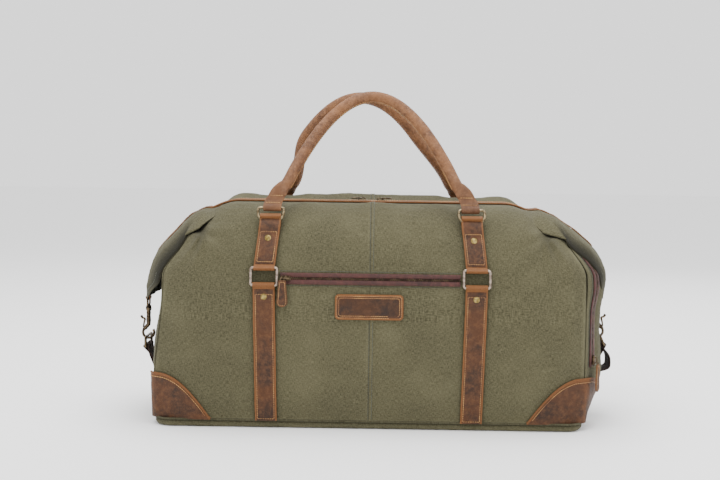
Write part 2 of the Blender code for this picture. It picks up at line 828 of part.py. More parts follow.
def side_slider():
    """Slider at the low end of the end pocket's zip, with its leather pull."""
    z = SIDE_SLIDER_Z
    y = side_zip_line(z)
    out_x = end_x(1, y, z) + 2.4
    middle = (out_x + SLIDER_TALL / 2 + 0.6, y, z)
    body = block((0.0, 0.0, 0.0), (SLIDER_TALL, SLIDER_WIDTH, SLIDER_LENGTH), 1.2)
    placed = ([(p[0] + middle[0], p[1] + middle[1], p[2] + middle[2]) for p in body[0]], body[1])
    placed = turned(placed, middle, "Z", SIDE_SLIDER_TURN)
    slider = make("side_zip_slider", placed, "dark_bronze", middle)
    hook = (middle[0] + 4.2, y - 2.4, z - 4.0)
    flat = pull_tab((0.0, 0.0, 0.0), SIDE_PULL_LENGTH, PULL_WIDE, PULL_NARROW, PULL_THICK, PULL_HOLE)
    tab = turned(ring_stack(flat), (0.0, 0.0, 0.0), "Z", 90.0 + SIDE_SLIDER_TURN)
    placed = ([(p[0] + hook[0], p[1] + hook[1], p[2] + hook[2]) for p in tab[0]], tab[1])
    make("side_zip_pull", placed, "leather", hook, slider)


def top_sliders():
    """Two sliders that meet at the middle of the top zip, each with a metal pull lying flat."""
    for end, side in SIDES:
        x = side * TOP_SLIDER_X
        low = RIDGE_HEIGHT + 0.1
        middle = (x, 0.0, low + SLIDER_TALL / 2)
        body = block(middle, (SLIDER_LENGTH, SLIDER_WIDTH, SLIDER_TALL), 2.0)
        slider = make(f"top_zip_slider_{end}", body, "dark_bronze", middle)
        hinge = (x + side * 2.0, 0.0, low + SLIDER_TALL + 1.4)
        path = [(hinge[0] + side * (across + 7.0), up, hinge[2])
                for across, up in rounded_rectangle(7.0, 3.4, 2.0, 1)]
        pull = wire_loop(path, 1.0, 5)
        make(f"top_zip_pull_{end}", pull, "dark_bronze", hinge, slider)


# ---------------------------------------------------------------- clips at the two ends

CHAPE_WIDTH = 38.0
CHAPE_THICK = 1.6
SIDE_RING_HALF = 22.5
HOOK_WIRE = 1.9
HOOK_BOW = 8.2
CLIP_X = {-1: 325.5, 1: 334.0}
CLIP_TOP = {-1: 164.0, 1: 176.0}
HOOK_LENGTH = 52.0


def end_ribbon(path, thickness, width, side):
    """A strap whose middle line runs in the plane of the bag's length, as (x, z) points."""
    points, faces = ribbon(path, thickness, lambda z: 0.0, width)
    return [(side * p[1], p[0], p[2]) for p in points], faces


def side_ring_path(low, high, side):
    path = []
    low = Vector(low)
    high = Vector(high)
    middle = (low + high) / 2
    rise = (high - low).normalized()
    for across, up in rounded_rectangle(SIDE_RING_HALF, (high - low).length / 2, 3.0, 2):
        spot = middle + rise * up
        path.append((side * spot.x, across, spot.y))
    return path


def hook_path(x, top):
    """Middle line and radii of a clip's stem and open bow, as (x, z) points."""
    centre = top - HOOK_LENGTH
    path = [(x, top - 9.6), (x, top - 16.0), (x, top - 24.0), (x, top - 34.0), (x, top - 40.0)]
    radii = [2.6, 4.2, 3.4, 3.6, 3.0]
    path += arc((x, centre), HOOK_BOW, 125.0, 395.0, 13)
    radii += [HOOK_WIRE + 0.5] + [HOOK_WIRE] * 12
    return path, radii


def clips():
    """Tab, swivel clip and its sliding gate at each end of the folded top."""
    for end, side in SIDES:
        x = CLIP_X[side]
        top = CLIP_TOP[side]
        loop = 1.5 + 0.5 + 0.8
        tab = [(x - 3.4, top + 7.0), (x - 2.8, top + 3.0)]
        tab += arc((x, top), loop, 150.0, 390.0, 7)
        tab += [(x + 1.4, top + 4.0), (x - 1.0, top + 7.0)]
        make(f"wing_tab_{end}", end_ribbon(tab, 1.6, 11.0, side), "leather")

        pivot = (side * x, 0.0, top)
        eye = [(side * x, across, top + up - 5.5) for across, up in rounded_rectangle(8.6, 5.5, 2.5, 2)]
        hook = make(f"wing_hook_{end}", wire_loop(eye, 1.5), "dark_bronze", pivot)
        path, radii = hook_path(x, top)
        stem = tube([(side * p[0], 0.0, p[1]) for p in path], radii)
        boolean(hook, make(f"hook_stem_{end}", stem, "dark_bronze", cutter=True), "UNION")

        centre = top - HOOK_LENGTH
        rail = x + 5.6
        gate_path = [(rail + 2.2, centre + 7.6), (rail + 1.2, centre + 14.0), (rail, centre + 20.0),
                     (rail + 3.5, centre + 21.5), (rail + 5.5, centre + 25.0)]
        gate = tube([(side * p[0], 0.0, p[1]) for p in gate_path], [1.2, 1.4, 1.5, 1.6, 1.9], 6)
        make(f"hook_gate_{end}", gate, "dark_bronze", (side * rail, 0.0, centre + 14.0), hook)


def side_holders():
    """The webbing loops sewn to the ends, and the rings that the clips hold."""
    for end, side in SIDES:
        x = CLIP_X[side]
        bow_low = CLIP_TOP[side] - HOOK_LENGTH - HOOK_BOW
        high = (x, bow_low + HOOK_WIRE + WIRE + GAP)
        low = (x + 6.0, high[1] - 14.0) if side > 0 else (x, high[1] - 14.0)
        ring = wire_loop(side_ring_path(low, high, side), WIRE)
        make(f"side_ring_{end}", ring, "dark_bronze", (side * low[0], 0.0, low[1]))
        loop = WIRE + 0.5 + CHAPE_THICK / 2
        root_z = 62.0 if side < 0 else 68.0
        root = end_x(side, -CHAPE_WIDTH / 2, root_z) + 1.6
        if side < 0:
            path = [(root, root_z), (root + 8.0, root_z + 18.0)]
            path += arc(low, loop, 195.0, -25.0, 8)
            path += [(root + 10.6, root_z + 18.0), (root + 2.4, root_z - 1.0)]
        else:
            path = [(root, root_z + 1.0), (root + 6.0, root_z + 12.0), (low[0] - 4.0, low[1] - 14.0)]
            path += arc(low, loop, 190.0, -20.0, 8)
            path += [(low[0] + 8.0, low[1] - 14.0), (low[0] + 10.5, low[1] - 26.0)]
            path += [(low[0] + 8.0, low[1] - 34.0),
                     (low[0] - 4.0, low[1] - 38.0), (root + 1.0, root_z - 2.0)]
        make(f"side_chape_{end}", end_ribbon(path, CHAPE_THICK, CHAPE_WIDTH, side), "webbing")


def build():
    clear_scene()
    canvas_panels()
    end_panels()
    base()
    lining()
    pouches()
    wings()
    straps()
    corner_patches()
    top_zip()
    front_pocket()
    side_pocket()
    handle_columns()
    front_slider()
    side_slider()
    top_sliders()
    clips()
    side_holders()


build()
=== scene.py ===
"""Looks of a canvas duffel bag: its shaped cloth, leather, stitching, zips and hardware."""
import math

import bpy
from mathutils import Matrix, Vector, noise


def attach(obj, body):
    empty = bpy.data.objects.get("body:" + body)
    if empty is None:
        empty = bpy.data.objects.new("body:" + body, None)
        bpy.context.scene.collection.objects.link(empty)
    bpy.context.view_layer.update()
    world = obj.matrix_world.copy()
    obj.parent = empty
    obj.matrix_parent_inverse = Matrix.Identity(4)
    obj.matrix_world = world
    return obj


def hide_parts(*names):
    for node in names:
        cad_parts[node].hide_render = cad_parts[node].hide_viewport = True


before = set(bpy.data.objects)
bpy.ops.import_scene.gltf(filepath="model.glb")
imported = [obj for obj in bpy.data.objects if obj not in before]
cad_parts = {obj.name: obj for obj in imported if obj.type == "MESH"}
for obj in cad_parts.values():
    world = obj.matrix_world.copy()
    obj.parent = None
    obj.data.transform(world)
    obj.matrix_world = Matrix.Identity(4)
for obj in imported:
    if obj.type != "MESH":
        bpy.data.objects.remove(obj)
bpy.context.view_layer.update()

MM = 0.001
SIDES = (("left", -1), ("right", 1))
FACES = (("front", 1), ("back", -1))

# ---------------------------------------------------------------- camera, light and floor

CAMERA_AT = Vector((0.0, -1.659, 0.360))
CAMERA_PITCH = -3.7
CAMERA_YAW = 0.55
CAMERA_ROLL = 0.8
CAMERA_LENS = 56.8


def camera():
    data = bpy.data.cameras.new("camera")
    data.lens = CAMERA_LENS
    data.sensor_width = 36.0
    eye = bpy.data.objects.new("camera", data)
    turn = Matrix.Rotation(math.radians(CAMERA_YAW), 4, "Z")
    tilt = Matrix.Rotation(math.radians(90.0 + CAMERA_PITCH), 4, "X")
    roll = Matrix.Rotation(math.radians(CAMERA_ROLL), 4, "Z")
    eye.matrix_world = Matrix.Translation(CAMERA_AT) @ turn @ tilt @ roll
    bpy.context.collection.objects.link(eye)
    bpy.context.scene.camera = eye


def area_light(name, place, target, size, power, colour=(1.0, 1.0, 1.0)):
    data = bpy.data.lights.new(name, "AREA")
    data.shape = "RECTANGLE"
    data.size = size[0]
    data.size_y = size[1]
    data.energy = power
    data.color = colour
    lamp = bpy.data.objects.new(name, data)
    lamp.location = place
    aim = Vector(target) - Vector(place)
    lamp.rotation_euler = aim.to_track_quat("-Z", "Y").to_euler()
    bpy.context.collection.objects.link(lamp)


def studio():
    middle = (0.0, 0.0, 0.18)
    area_light("key", (-0.7, -1.3, 2.1), middle, (1.2, 0.9), 26.0)
    area_light("fill", (1.5, -1.6, 1.3), middle, (1.2, 1.2), 6.0)
    area_light("top", (0.1, 0.1, 2.1), middle, (1.6, 1.2), 40.0)
    area_light("rear", (0.5, 1.9, 1.4), middle, (1.4, 1.0), 14.0)
    world = bpy.data.worlds.new("studio")
    world.use_nodes = True
    world.node_tree.nodes["Background"].inputs["Color"].default_value = (1.0, 1.0, 1.0, 1.0)
    world.node_tree.nodes["Background"].inputs["Strength"].default_value = 1.6
    bpy.context.scene.world = world
    bpy.ops.mesh.primitive_plane_add(size=30.0, location=(0.0, 0.0, -0.0005))
    floor = bpy.context.object
    floor.name = "floor"
    pale = bpy.data.materials.new("floor")
    pale.use_nodes = True
    shader = pale.node_tree.nodes["Principled BSDF"]
    shader.inputs["Base Color"].default_value = (0.95, 0.95, 0.95, 1.0)
    shader.inputs["Roughness"].default_value = 0.8
    floor.data.materials.append(pale)


camera()
studio()

# ---------------------------------------------------------------- number and shape helpers


def ease(low, high, value):
    t = min(max((value - low) / (high - low), 0.0), 1.0)
    return t * t * (3.0 - 2.0 * t)


def spread(low, high, count):
    return [low + (high - low) * i / (count - 1) for i in range(count)]


def wander(x, y, z, size, seed=0.0):
    """Smooth noise from about -1 to 1, with features of the given size in mm."""
    return noise.noise(Vector((x / size + seed, y / size + 1.7 * seed, z / size - seed)))


def arc(centre, radius, start, end, count):
    points = []
    for angle in spread(start, end, count):
        turn = math.radians(angle)
        points.append((centre[0] - radius * math.cos(turn), centre[1] + radius * math.sin(turn)))
    return points


def curve_through(points, per_span):
    """Points on a smooth curve through the given ones, which may have any length."""
    rows = [tuple(p) for p in points]
    smooth = []
    for i in range(len(rows) - 1):
        a = rows[max(i - 1, 0)]
        b = rows[i]
        c = rows[i + 1]
        d = rows[min(i + 2, len(rows) - 1)]
        for k in range(per_span):
            t = k / per_span
            point = []
            for pa, pb, pc, pd in zip(a, b, c, d):
                value = 2 * pb + (pc - pa) * t + (2 * pa - 5 * pb + 4 * pc - pd) * t * t
                point.append((value + (3 * pb - pa - 3 * pc + pd) * t ** 3) / 2)
            smooth.append(tuple(point))
    smooth.append(rows[-1])
    return smooth


def rounded_rectangle(half_x, half_y, radius, steps=6):
    loop = []
    for cx, cy, start in ((1, -1, -90), (1, 1, 0), (-1, 1, 90), (-1, -1, 180)):
        for k in range(steps + 1):
            turn = math.radians(start + 90.0 * k / steps)
            x = cx * (half_x - radius) + radius * math.cos(turn)
            loop.append((x, cy * (half_y - radius) + radius * math.sin(turn)))
    return loop


def ring_stack(loops, closed=False):
    count = len(loops[0])
    points = [p for loop in loops for p in loop]
    faces = []
    for i in range(len(loops) if closed else len(loops) - 1):
        here = i * count
        there = ((i + 1) % len(loops)) * count
        for j in range(count):
            k = (j + 1) % count
            faces.append((here + j, here + k, there + k, there + j))
    if not closed:
        faces.append(tuple(range(count - 1, -1, -1)))
        faces.append(tuple((len(loops) - 1) * count + j for j in range(count)))
    return points, faces


def wire_loop(path, radius, sides=12):
    """A round wire along a closed path."""
    spots = [Vector(p) for p in path]
    middle = sum(spots, Vector()) / len(spots)
    normal = Vector()
    for i, spot in enumerate(spots):
        normal += (spot - middle).cross(spots[(i + 1) % len(spots)] - middle)
    normal.normalize()
    loops = []
    for i, spot in enumerate(spots):
        along = (spots[(i + 1) % len(spots)] - spots[i - 1]).normalized()
        wide = along.cross(normal).normalized()
        loop = []
        for k in range(sides):
            turn = 2 * math.pi * k / sides
            loop.append(tuple(spot + wide * (radius * math.cos(turn)) + normal * (radius * math.sin(turn))))
        loops.append(loop)
    return ring_stack(loops, closed=True)


def tube(path, radii, sides=12, up=(0.0, 1.0, 0.0)):
    """A round bar along an open path whose radius may change."""
    spots = [Vector(p) for p in path]
    if not isinstance(radii, (list, tuple)):
        radii = [radii] * len(spots)
    loops = []
    hint = Vector(up)
    for i, spot in enumerate(spots):
        along = (spots[min(i + 1, len(spots) - 1)] - spots[max(i - 1, 0)]).normalized()
        wide = along.cross(hint)
        if wide.length < 0.05:
            wide = along.cross(Vector((1.0, 0.3, 0.2)))
        wide.normalize()
        deep = along.cross(wide).normalized()
        loop = []
        for k in range(sides):
            turn = 2 * math.pi * k / sides
            loop.append(tuple(spot + wide * (radii[i] * math.cos(turn)) + deep * (radii[i] * math.sin(turn))))
        loops.append(loop)
    return ring_stack(loops)


def grid_faces(rows, columns, turned):
    """Quads over a grid of points, facing the other way if turned."""
    faces = []
    for i in range(rows - 1):
        for j in range(columns - 1):
            a = i * columns + j
            quad = (a, a + 1, a + columns + 1, a + columns)
            faces.append(tuple(reversed(quad)) if turned else quad)
    return faces


def turned(mesh_data):
    """The same mesh with its faces looking the other way."""
    return mesh_data[0], [tuple(reversed(face)) for face in mesh_data[1]]


def joined(parts):
    points = []
    faces = []
    for more_points, more_faces in parts:
        base = len(points)
        points += list(more_points)
        faces += [tuple(base + k for k in face) for face in more_faces]
    return points, faces


def moved(mesh_data, change):
    return [tuple(change(p)) for p in mesh_data[0]], mesh_data[1]


def flipped(mesh_data, flip):
    """The same shape on the back of the bag, where flip is -1, its faces still outward."""
    points, faces = mesh_data
    if flip > 0:
        return points, faces
    return [(p[0], -p[1], p[2]) for p in points], [tuple(reversed(f)) for f in faces]


# ---------------------------------------------------------------- materials

class Recipe:
    """A small helper that builds one node material from top to bottom."""

    def __init__(self, name, roughness, metallic=0.0, sheen=0.0, specular=0.5):
        self.material = bpy.data.materials.new(name)
        self.material.use_nodes = True
        self.tree = self.material.node_tree
        self.shader = self.tree.nodes["Principled BSDF"]
        self.shader.inputs["Roughness"].default_value = roughness
        self.shader.inputs["Metallic"].default_value = metallic
        self.shader.inputs["Specular IOR Level"].default_value = specular
        self.shader.inputs["Sheen Weight"].default_value = sheen
        self.shader.inputs["Sheen Roughness"].default_value = 0.6

    def link(self, output, target):
        self.tree.links.new(output, target)
        return self

    def coordinates(self, kind, scale):
        source = self.tree.nodes.new("ShaderNodeTexCoord")
        mapping = self.tree.nodes.new("ShaderNodeMapping")
        mapping.inputs["Scale"].default_value = scale
        self.link(source.outputs[kind], mapping.inputs["Vector"])
        return mapping.outputs["Vector"]

    def noise(self, scale, detail=4.0, rough=0.6, kind="Object", stretch=(1.0, 1.0, 1.0), distortion=0.0):
        node = self.tree.nodes.new("ShaderNodeTexNoise")
        node.inputs["Scale"].default_value = scale
        node.inputs["Detail"].default_value = detail
        node.inputs["Roughness"].default_value = rough
        node.inputs["Distortion"].default_value = distortion
        self.link(self.coordinates(kind, stretch), node.inputs["Vector"])
        return node.outputs["Fac"]

    def cells(self, scale, kind="Object", stretch=(1.0, 1.0, 1.0)):
        node = self.tree.nodes.new("ShaderNodeTexVoronoi")
        node.feature = "DISTANCE_TO_EDGE"
        node.inputs["Scale"].default_value = scale
        self.link(self.coordinates(kind, stretch), node.inputs["Vector"])
        return node.outputs["Distance"]

    def waves(self, scale, direction, distortion=0.0, kind="UV"):
        node = self.tree.nodes.new("ShaderNodeTexWave")
        node.wave_type = "BANDS"
        node.bands_direction = direction
        node.inputs["Scale"].default_value = scale
        node.inputs["Distortion"].default_value = distortion
        self.link(self.coordinates(kind, (1.0, 1.0, 1.0)), node.inputs["Vector"])
        return node.outputs["Fac"]

    def painted(self, name):
        """A value stored on the mesh, from 0 to 1."""
        node = self.tree.nodes.new("ShaderNodeAttribute")
        node.attribute_name = name
        return node.outputs["Fac"]

    def ramp(self, value, low, high, out_low=0.0, out_high=1.0):
        node = self.tree.nodes.new("ShaderNodeMapRange")
        node.interpolation_type = "SMOOTHSTEP"
        node.inputs["From Min"].default_value = low
        node.inputs["From Max"].default_value = high
        node.inputs["To Min"].default_value = out_low
        node.inputs["To Max"].default_value = out_high
        self.link(value, node.inputs["Value"])
        return node.outputs["Result"]

    def maths(self, operation, first, second):
        node = self.tree.nodes.new("ShaderNodeMath")
        node.operation = operation
        for socket, value in zip(node.inputs, (first, second)):
            if isinstance(value, (int, float)):
                socket.default_value = value
            else:
                self.link(value, socket)
        return node.outputs["Value"]

    def mix(self, share, first, second):
        node = self.tree.nodes.new("ShaderNodeMix")
        node.data_type = "RGBA"
        if isinstance(share, (int, float)):
            node.inputs["Factor"].default_value = share
        else:
            self.link(share, node.inputs["Factor"])
        for socket, value in ((node.inputs[6], first), (node.inputs[7], second)):
            if isinstance(value, tuple):
                socket.default_value = (*value, 1.0)
            else:
                self.link(value, socket)
        return node.outputs[2]

    def colour(self, value):
        return self.link(value, self.shader.inputs["Base Color"])

    def roughness(self, value):
        return self.link(value, self.shader.inputs["Roughness"])

    def bump(self, height, strength, distance):
        node = self.tree.nodes.new("ShaderNodeBump")
        node.inputs["Strength"].default_value = strength
        node.inputs["Distance"].default_value = distance
        self.link(height, node.inputs["Height"])
        self.link(node.outputs["Normal"], self.shader.inputs["Normal"])
        return self


def canvas_material(name, dark, middle, light):
    """Washed cotton canvas: slubbed threads both ways, mottling, pale wear on its ridges, and painted shade
    where the mesh's shade values are high.
    """
    r = Recipe(name, 0.95, sheen=0.03, specular=0.15)
    warp = r.noise(1.0, 3.0, 0.75, "UV", (1300.0, 230.0, 1.0))
    weft = r.noise(1.0, 3.0, 0.75, "UV", (230.0, 1300.0, 1.0))
    slub = r.maths("ADD", r.maths("MULTIPLY", warp, 0.5), r.maths("MULTIPLY", weft, 0.5))
    cloud = r.noise(13.0, 4.0, 0.55)
    crease = r.noise(70.0, 5.0, 0.7, "Object", (1.0, 1.0, 2.6), 1.4)
    tone = r.mix(r.ramp(cloud, 0.30, 0.66, 0.35, 1.0), dark, middle)
    tone = r.mix(r.ramp(slub, 0.38, 0.62), r.mix(0.45, dark, tone), r.mix(0.62, tone, light))
    tone = r.mix(r.ramp(crease, 0.58, 0.72, 0.0, 0.4), tone, light)
    tone = r.mix(r.maths("MULTIPLY", r.painted("wear"), r.ramp(cloud, 0.3, 0.6)), tone, light)
    # Painted shade: the mesh's shade values darken the cloth toward a near-black brown.
    tone = r.mix(r.painted("shade"), tone, tuple(c * 0.22 for c in dark))
    r.colour(tone)
    weave = r.maths("MULTIPLY", r.waves(110.0, "X", 0.6), r.waves(110.0, "Y", 0.6))
    height = r.maths("ADD", r.maths("MULTIPLY", weave, 0.35), r.maths("MULTIPLY", slub, 0.9))
    height = r.maths("ADD", height, r.maths("MULTIPLY", crease, 1.3))
    r.bump(height, 0.55, 0.0009)
    return r.material


def leather_material(name, dark, middle, light, edge, roughness=0.62, grain=620.0):
    """Waxed pull-up leather: dark rubbed patches, a pebbled grain and pale worn edges."""
    r = Recipe(name, roughness, specular=0.28)
    patches = r.noise(26.0, 7.0, 0.68, distortion=0.5)
    fine = r.noise(150.0, 6.0, 0.7)
    pores = r.cells(grain)
    scuffs = r.noise(60.0, 6.0, 0.72, "Object", (1.0, 1.0, 0.35), 0.8)
    tone = r.mix(r.ramp(patches, 0.36, 0.62), dark, middle)
    tone = r.mix(r.ramp(fine, 0.4, 0.72, 0.0, 0.6), tone, light)
    tone = r.mix(r.ramp(scuffs, 0.58, 0.74, 0.0, 0.55), tone, light)
    worn = r.maths("ADD", r.painted("wear"), r.maths("MULTIPLY", fine, 0.35))
    tone = r.mix(r.ramp(worn, 0.55, 1.1), tone, edge)
    tone = r.mix(r.maths("MULTIPLY", r.painted("shade"), 0.7), tone, tuple(c * 0.6 for c in dark))
    tone = r.mix(r.ramp(pores, 0.0, 0.12, 0.35, 0.0), tone, dark)
    r.colour(tone)
    r.roughness(r.ramp(patches, 0.3, 0.7, roughness - 0.12, roughness + 0.1))
    height = r.maths("MULTIPLY", r.ramp(pores, 0.0, 0.25), 0.7)
    height = r.maths("ADD", height, r.maths("MULTIPLY", fine, 0.8))
    r.bump(r.maths("ADD", height, r.maths("MULTIPLY", scuffs, 0.6)), 0.5, 0.0007)
    return r.material


def metal_material(name, dark, light, roughness):
    """Cast or drawn metal: tarnish in patches, brighter where it is rubbed, fine scratches."""
    r = Recipe(name, roughness, metallic=1.0)
    tarnish = r.noise(190.0, 6.0, 0.65)
    scratch = r.noise(1.0, 3.0, 0.6, "Object", (2600.0, 2600.0, 260.0))
    r.colour(r.mix(r.ramp(tarnish, 0.35, 0.65), dark, light))
    r.roughness(r.ramp(tarnish, 0.3, 0.7, roughness + 0.16, roughness - 0.06))
    r.bump(r.maths("ADD", tarnish, r.maths("MULTIPLY", scratch, 0.4)), 0.25, 0.0003)
    return r.material


def tape_material(name, dark, light, pitch):
    """Ribbed woven tape, such as webbing or zip tape."""
    r = Recipe(name, 0.9, sheen=0.03, specular=0.2)
    ribs = r.waves(pitch, "X", 0.4)
    cross = r.waves(pitch * 1.6, "Y", 0.8)
    threads = r.maths("MULTIPLY", ribs, cross)
    cloud = r.noise(60.0, 5.0, 0.6)
    tone = r.mix(r.ramp(threads, 0.1, 0.7), dark, light)
    worn = r.maths("MULTIPLY", r.painted("wear"), r.ramp(cloud, 0.3, 0.7))
    tone = r.mix(worn, tone, tuple(c * 1.6 for c in light))
    r.colour(r.mix(r.ramp(cloud, 0.35, 0.7, 0.0, 0.4), tone, dark))
    r.bump(threads, 0.6, 0.0006)
    return r.material


def thread_material(name, dark, light):
    """Twisted waxed sewing thread."""
    r = Recipe(name, 0.6, sheen=0.1)
    twist = r.noise(900.0, 2.0, 0.5)
    cloud = r.noise(40.0, 4.0, 0.6)
    r.colour(r.mix(r.ramp(cloud, 0.35, 0.65), dark, light))
    r.bump(twist, 0.5, 0.0003)
    return r.material


def board_material(name):
    """Pressed fibre board."""
    r = Recipe(name, 0.8)
    fibres = r.noise(120.0, 8.0, 0.75)
    r.colour(r.mix(r.ramp(fibres, 0.3, 0.7), (0.33, 0.26, 0.16), (0.5, 0.41, 0.28)))
    r.bump(fibres, 0.3, 0.0004)
    return r.material


LOOKS = {
    "canvas": canvas_material("canvas", (0.026, 0.023, 0.011), (0.062, 0.056, 0.028), (0.135, 0.125, 0.072)),
    "lining": canvas_material("lining", (0.060, 0.050, 0.034), (0.095, 0.080, 0.055), (0.15, 0.13, 0.09)),
    "leather": leather_material("leather", (0.020, 0.008, 0.003), (0.078, 0.029, 0.010),
                                (0.165, 0.067, 0.024), (0.165, 0.062, 0.016)),
    "handle_leather": leather_material("handle_leather", (0.090, 0.036, 0.014), (0.200, 0.086, 0.034),
                                       (0.320, 0.155, 0.072), (0.330, 0.145, 0.052), 0.6, 900.0),
    "zip_lip": leather_material("zip_lip", (0.022, 0.007, 0.006), (0.055, 0.016, 0.013),
                                (0.110, 0.035, 0.027), (0.110, 0.037, 0.029), 0.5, 900.0),
    "zip_tape": tape_material("zip_tape", (0.014, 0.005, 0.005), (0.042, 0.015, 0.013), 260.0),
    "webbing": tape_material("webbing", (0.012, 0.006, 0.005), (0.046, 0.026, 0.020), 150.0),
    "board": board_material("board"),
    "antique_brass": metal_material("antique_brass", (0.075, 0.055, 0.030), (0.300, 0.235, 0.135), 0.38),
    "nickel": metal_material("nickel", (0.180, 0.138, 0.108), (0.460, 0.370, 0.300), 0.32),
    "dark_bronze": metal_material("dark_bronze", (0.030, 0.021, 0.014), (0.150, 0.108, 0.064), 0.42),
    "rivet": metal_material("rivet", (0.130, 0.090, 0.025), (0.380, 0.285, 0.105), 0.34),
    "gold_thread": thread_material("gold_thread", (0.190, 0.078, 0.020), (0.430, 0.225, 0.062)),
    "canvas_thread": thread_material("canvas_thread", (0.026, 0.030, 0.019), (0.050, 0.055, 0.036)),
}


def piece(name, mesh_data, look, body="bag", nodes=(), uv=None, paint=None, sharp=38.0, thickness=0.0):
    """A new object from points in mm. It rides on a body and may stand for CAD nodes."""
    points, faces = mesh_data
    data = bpy.data.meshes.new(name)
    data.from_pydata([(x * MM, y * MM, z * MM) for x, y, z in points], [], faces)
    data.validate()
    for key, values in (paint or {}).items():
        data.attributes.new(key, "FLOAT", "POINT").data.foreach_set("value", values)
    if uv:
        layer = data.uv_layers.new(name="UVMap")
        for loop in data.loops:
            layer.data[loop.index].uv = uv[loop.vertex_index]
    data.shade_smooth()
    data.set_sharp_from_angle(angle=math.radians(sharp))
    data.materials.append(LOOKS[look])
    obj = bpy.data.objects.new(name, data)
    bpy.context.collection.objects.link(obj)
    if thickness:
        solid = obj.modifiers.new("thickness", "SOLIDIFY")
        solid.thickness = thickness * MM
        solid.offset = -1.0
    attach(obj, body)
    if nodes:
        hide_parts(*nodes)
    return obj


# ---------------------------------------------------------------- body shape, in mm, as in the CAD

HALF_LENGTH = 296.0
HALF_DEPTH = 126.0
RIDGE_HEIGHT = 309.0
WALL_TOP = 150.0
PANEL_BOTTOM = 10.2
BASE_TOP = 9.6
DOME_POWER = 2.8
GAP = 0.3
CANVAS = 2.0
TAPER_START = 225.0
END_TAPER = 14.0
RIDGE_FLAT = 190.0
RIDGE_LOW = 330.0
RIDGE_DROP = 60.0
ZIP_SLOT = 9.0
END_BULGE = {-1: 10.0, 1: 40.0}
POCKET_LEAN = {-1: 0.0, 1: 0.6}
STRAP_WIDTH = 30.0
STRAP_BOTTOM_X = 140.5
RING_X = 144.5
DRING_X = 138.5
WIRE = 2.0
RING_HALF_WIDTH = 17.8
RING_CORNER = 2.8
RING_LOW_Z = 197.5
RING_HIGH_Z = 220.5
BAR_OFFSET = 4.8
LEATHER = 1.6
DRING_LOW = (-100.8, 282.0)
DRING_LEAN = math.radians(24)
DRING_HEIGHT = 21.5
HANDLE_TOP = (-11.5, 460.0)
HANDLE_RADIUS = 8.3
HANDLE_LEG_X = 131.0
HANDLE_ARCH_FOOT = 306.0
HANDLE_LEAN = {"front": 0.0, "back": -17.0}
WALL_SHARE = 0.45
LAYER_IN = 0.5 + LEATHER / 2
LAYER_OUT = LAYER_IN + LEATHER + 0.3
LOOP_RADIUS = WIRE + 0.5 + LEATHER / 2


def ridge(x):
    return RIDGE_HEIGHT - RIDGE_DROP * ease(RIDGE_FLAT, RIDGE_LOW, abs(x))


def half_depth(x):
    over = max(abs(x) - TAPER_START, 0.0) / (HALF_LENGTH - TAPER_START)
    return HALF_DEPTH - END_TAPER * over * over


def depth_at(x, z):
    """Half depth of the body at a height."""
    full = half_depth(x)
    if z <= WALL_TOP:
        return full - 8.0 * ((WALL_TOP - z) / WALL_TOP) ** 2
    rise = min((z - WALL_TOP) / (ridge(x) - WALL_TOP), 1.0)
    sine = rise ** (DOME_POWER / 2)
    return full * math.sqrt(max(1.0 - sine * sine, 0.0)) ** (2 / DOME_POWER)


def height_at(x, y):
    """Height of the body's top surface at a depth."""
    share = min(abs(y) / half_depth(x), 1.0)
    return WALL_TOP + (ridge(x) - WALL_TOP) * (1.0 - share ** DOME_POWER) ** (1 / DOME_POWER)


def profile_point(x, t):
    """Point (y, z) on the front half: t from 0 at the base to 1 at the ridge."""
    if t < WALL_SHARE:
        z = PANEL_BOTTOM + (WALL_TOP - PANEL_BOTTOM) * t / WALL_SHARE
        return -depth_at(x, z), z
    angle = math.pi / 2 * (t - WALL_SHARE) / (1 - WALL_SHARE)
    y = half_depth(x) * math.cos(angle) ** (2 / DOME_POWER)
    z = WALL_TOP + (ridge(x) - WALL_TOP) * math.sin(angle) ** (2 / DOME_POWER)
    return -y, z


def profile_normal(x, t):
    step = 0.01
    low = profile_point(x, max(t - step, 0.0))
    high = profile_point(x, min(t + step, 1.0))
    along = Vector((high[0] - low[0], high[1] - low[1])).normalized()
    return Vector((-along.y, along.x))


def front_offset(x, t, offset):
    y, z = profile_point(x, t)
    normal = profile_normal(x, t)
    return (x, y + normal.x * offset, z + normal.y * offset)


def resting(x, t, lift):
    """A point over the front's surface, and the way out of the surface there."""
    normal = profile_normal(x, t)
    return front_offset(x, t, lift), (0.0, normal.x, normal.y)


def solve(low, high, wanted, value):
    """The parameter between low and high whose rising value reaches the wanted one."""
    for _ in range(30):
        middle = (low + high) / 2
        if value(middle) < wanted:
            low = middle
        else:
            high = middle
    return (low + high) / 2


def t_at_height(x, height):
    return solve(0.0, 1.0, height, lambda t: profile_point(x, t)[1])


def t_at_depth(x, y):
    return solve(0.5, 1.0, -y, lambda t: profile_point(x, t)[0])


def surface_line(x, low_z, high_z, offset, count):
    line = []
    for z in spread(low_z, high_z, count):
        point = front_offset(x, t_at_height(x, z), offset)
        line.append((point[1], point[2]))
    return line


def end_x(side, y, z):
    width = max(depth_at(HALF_LENGTH, z), 1.0)
    across = max(1.0 - (y / width) ** 2, 0.0)
    swell = math.sin(math.pi / 2 * min(z / 80.0, 1.0)) * (1.0 - ease(130.0, 185.0, z))
    lean = 1.0 - POCKET_LEAN[side] * ease(-70.0, 10.0, y)
    if side > 0:
        full = 1.0 - 0.09 * (ease(100.0, 140.0, z) - ease(158.0, 190.0, z))
        swell = full * max(swell, ease(100.0, 125.0, z) * (1.0 - ease(190.0, 262.0, z)))
        across = across ** (1.0 - 0.28 * ease(160.0, 192.0, z))
    return HALF_LENGTH + GAP + CANVAS + END_BULGE[side] * across * swell * lean


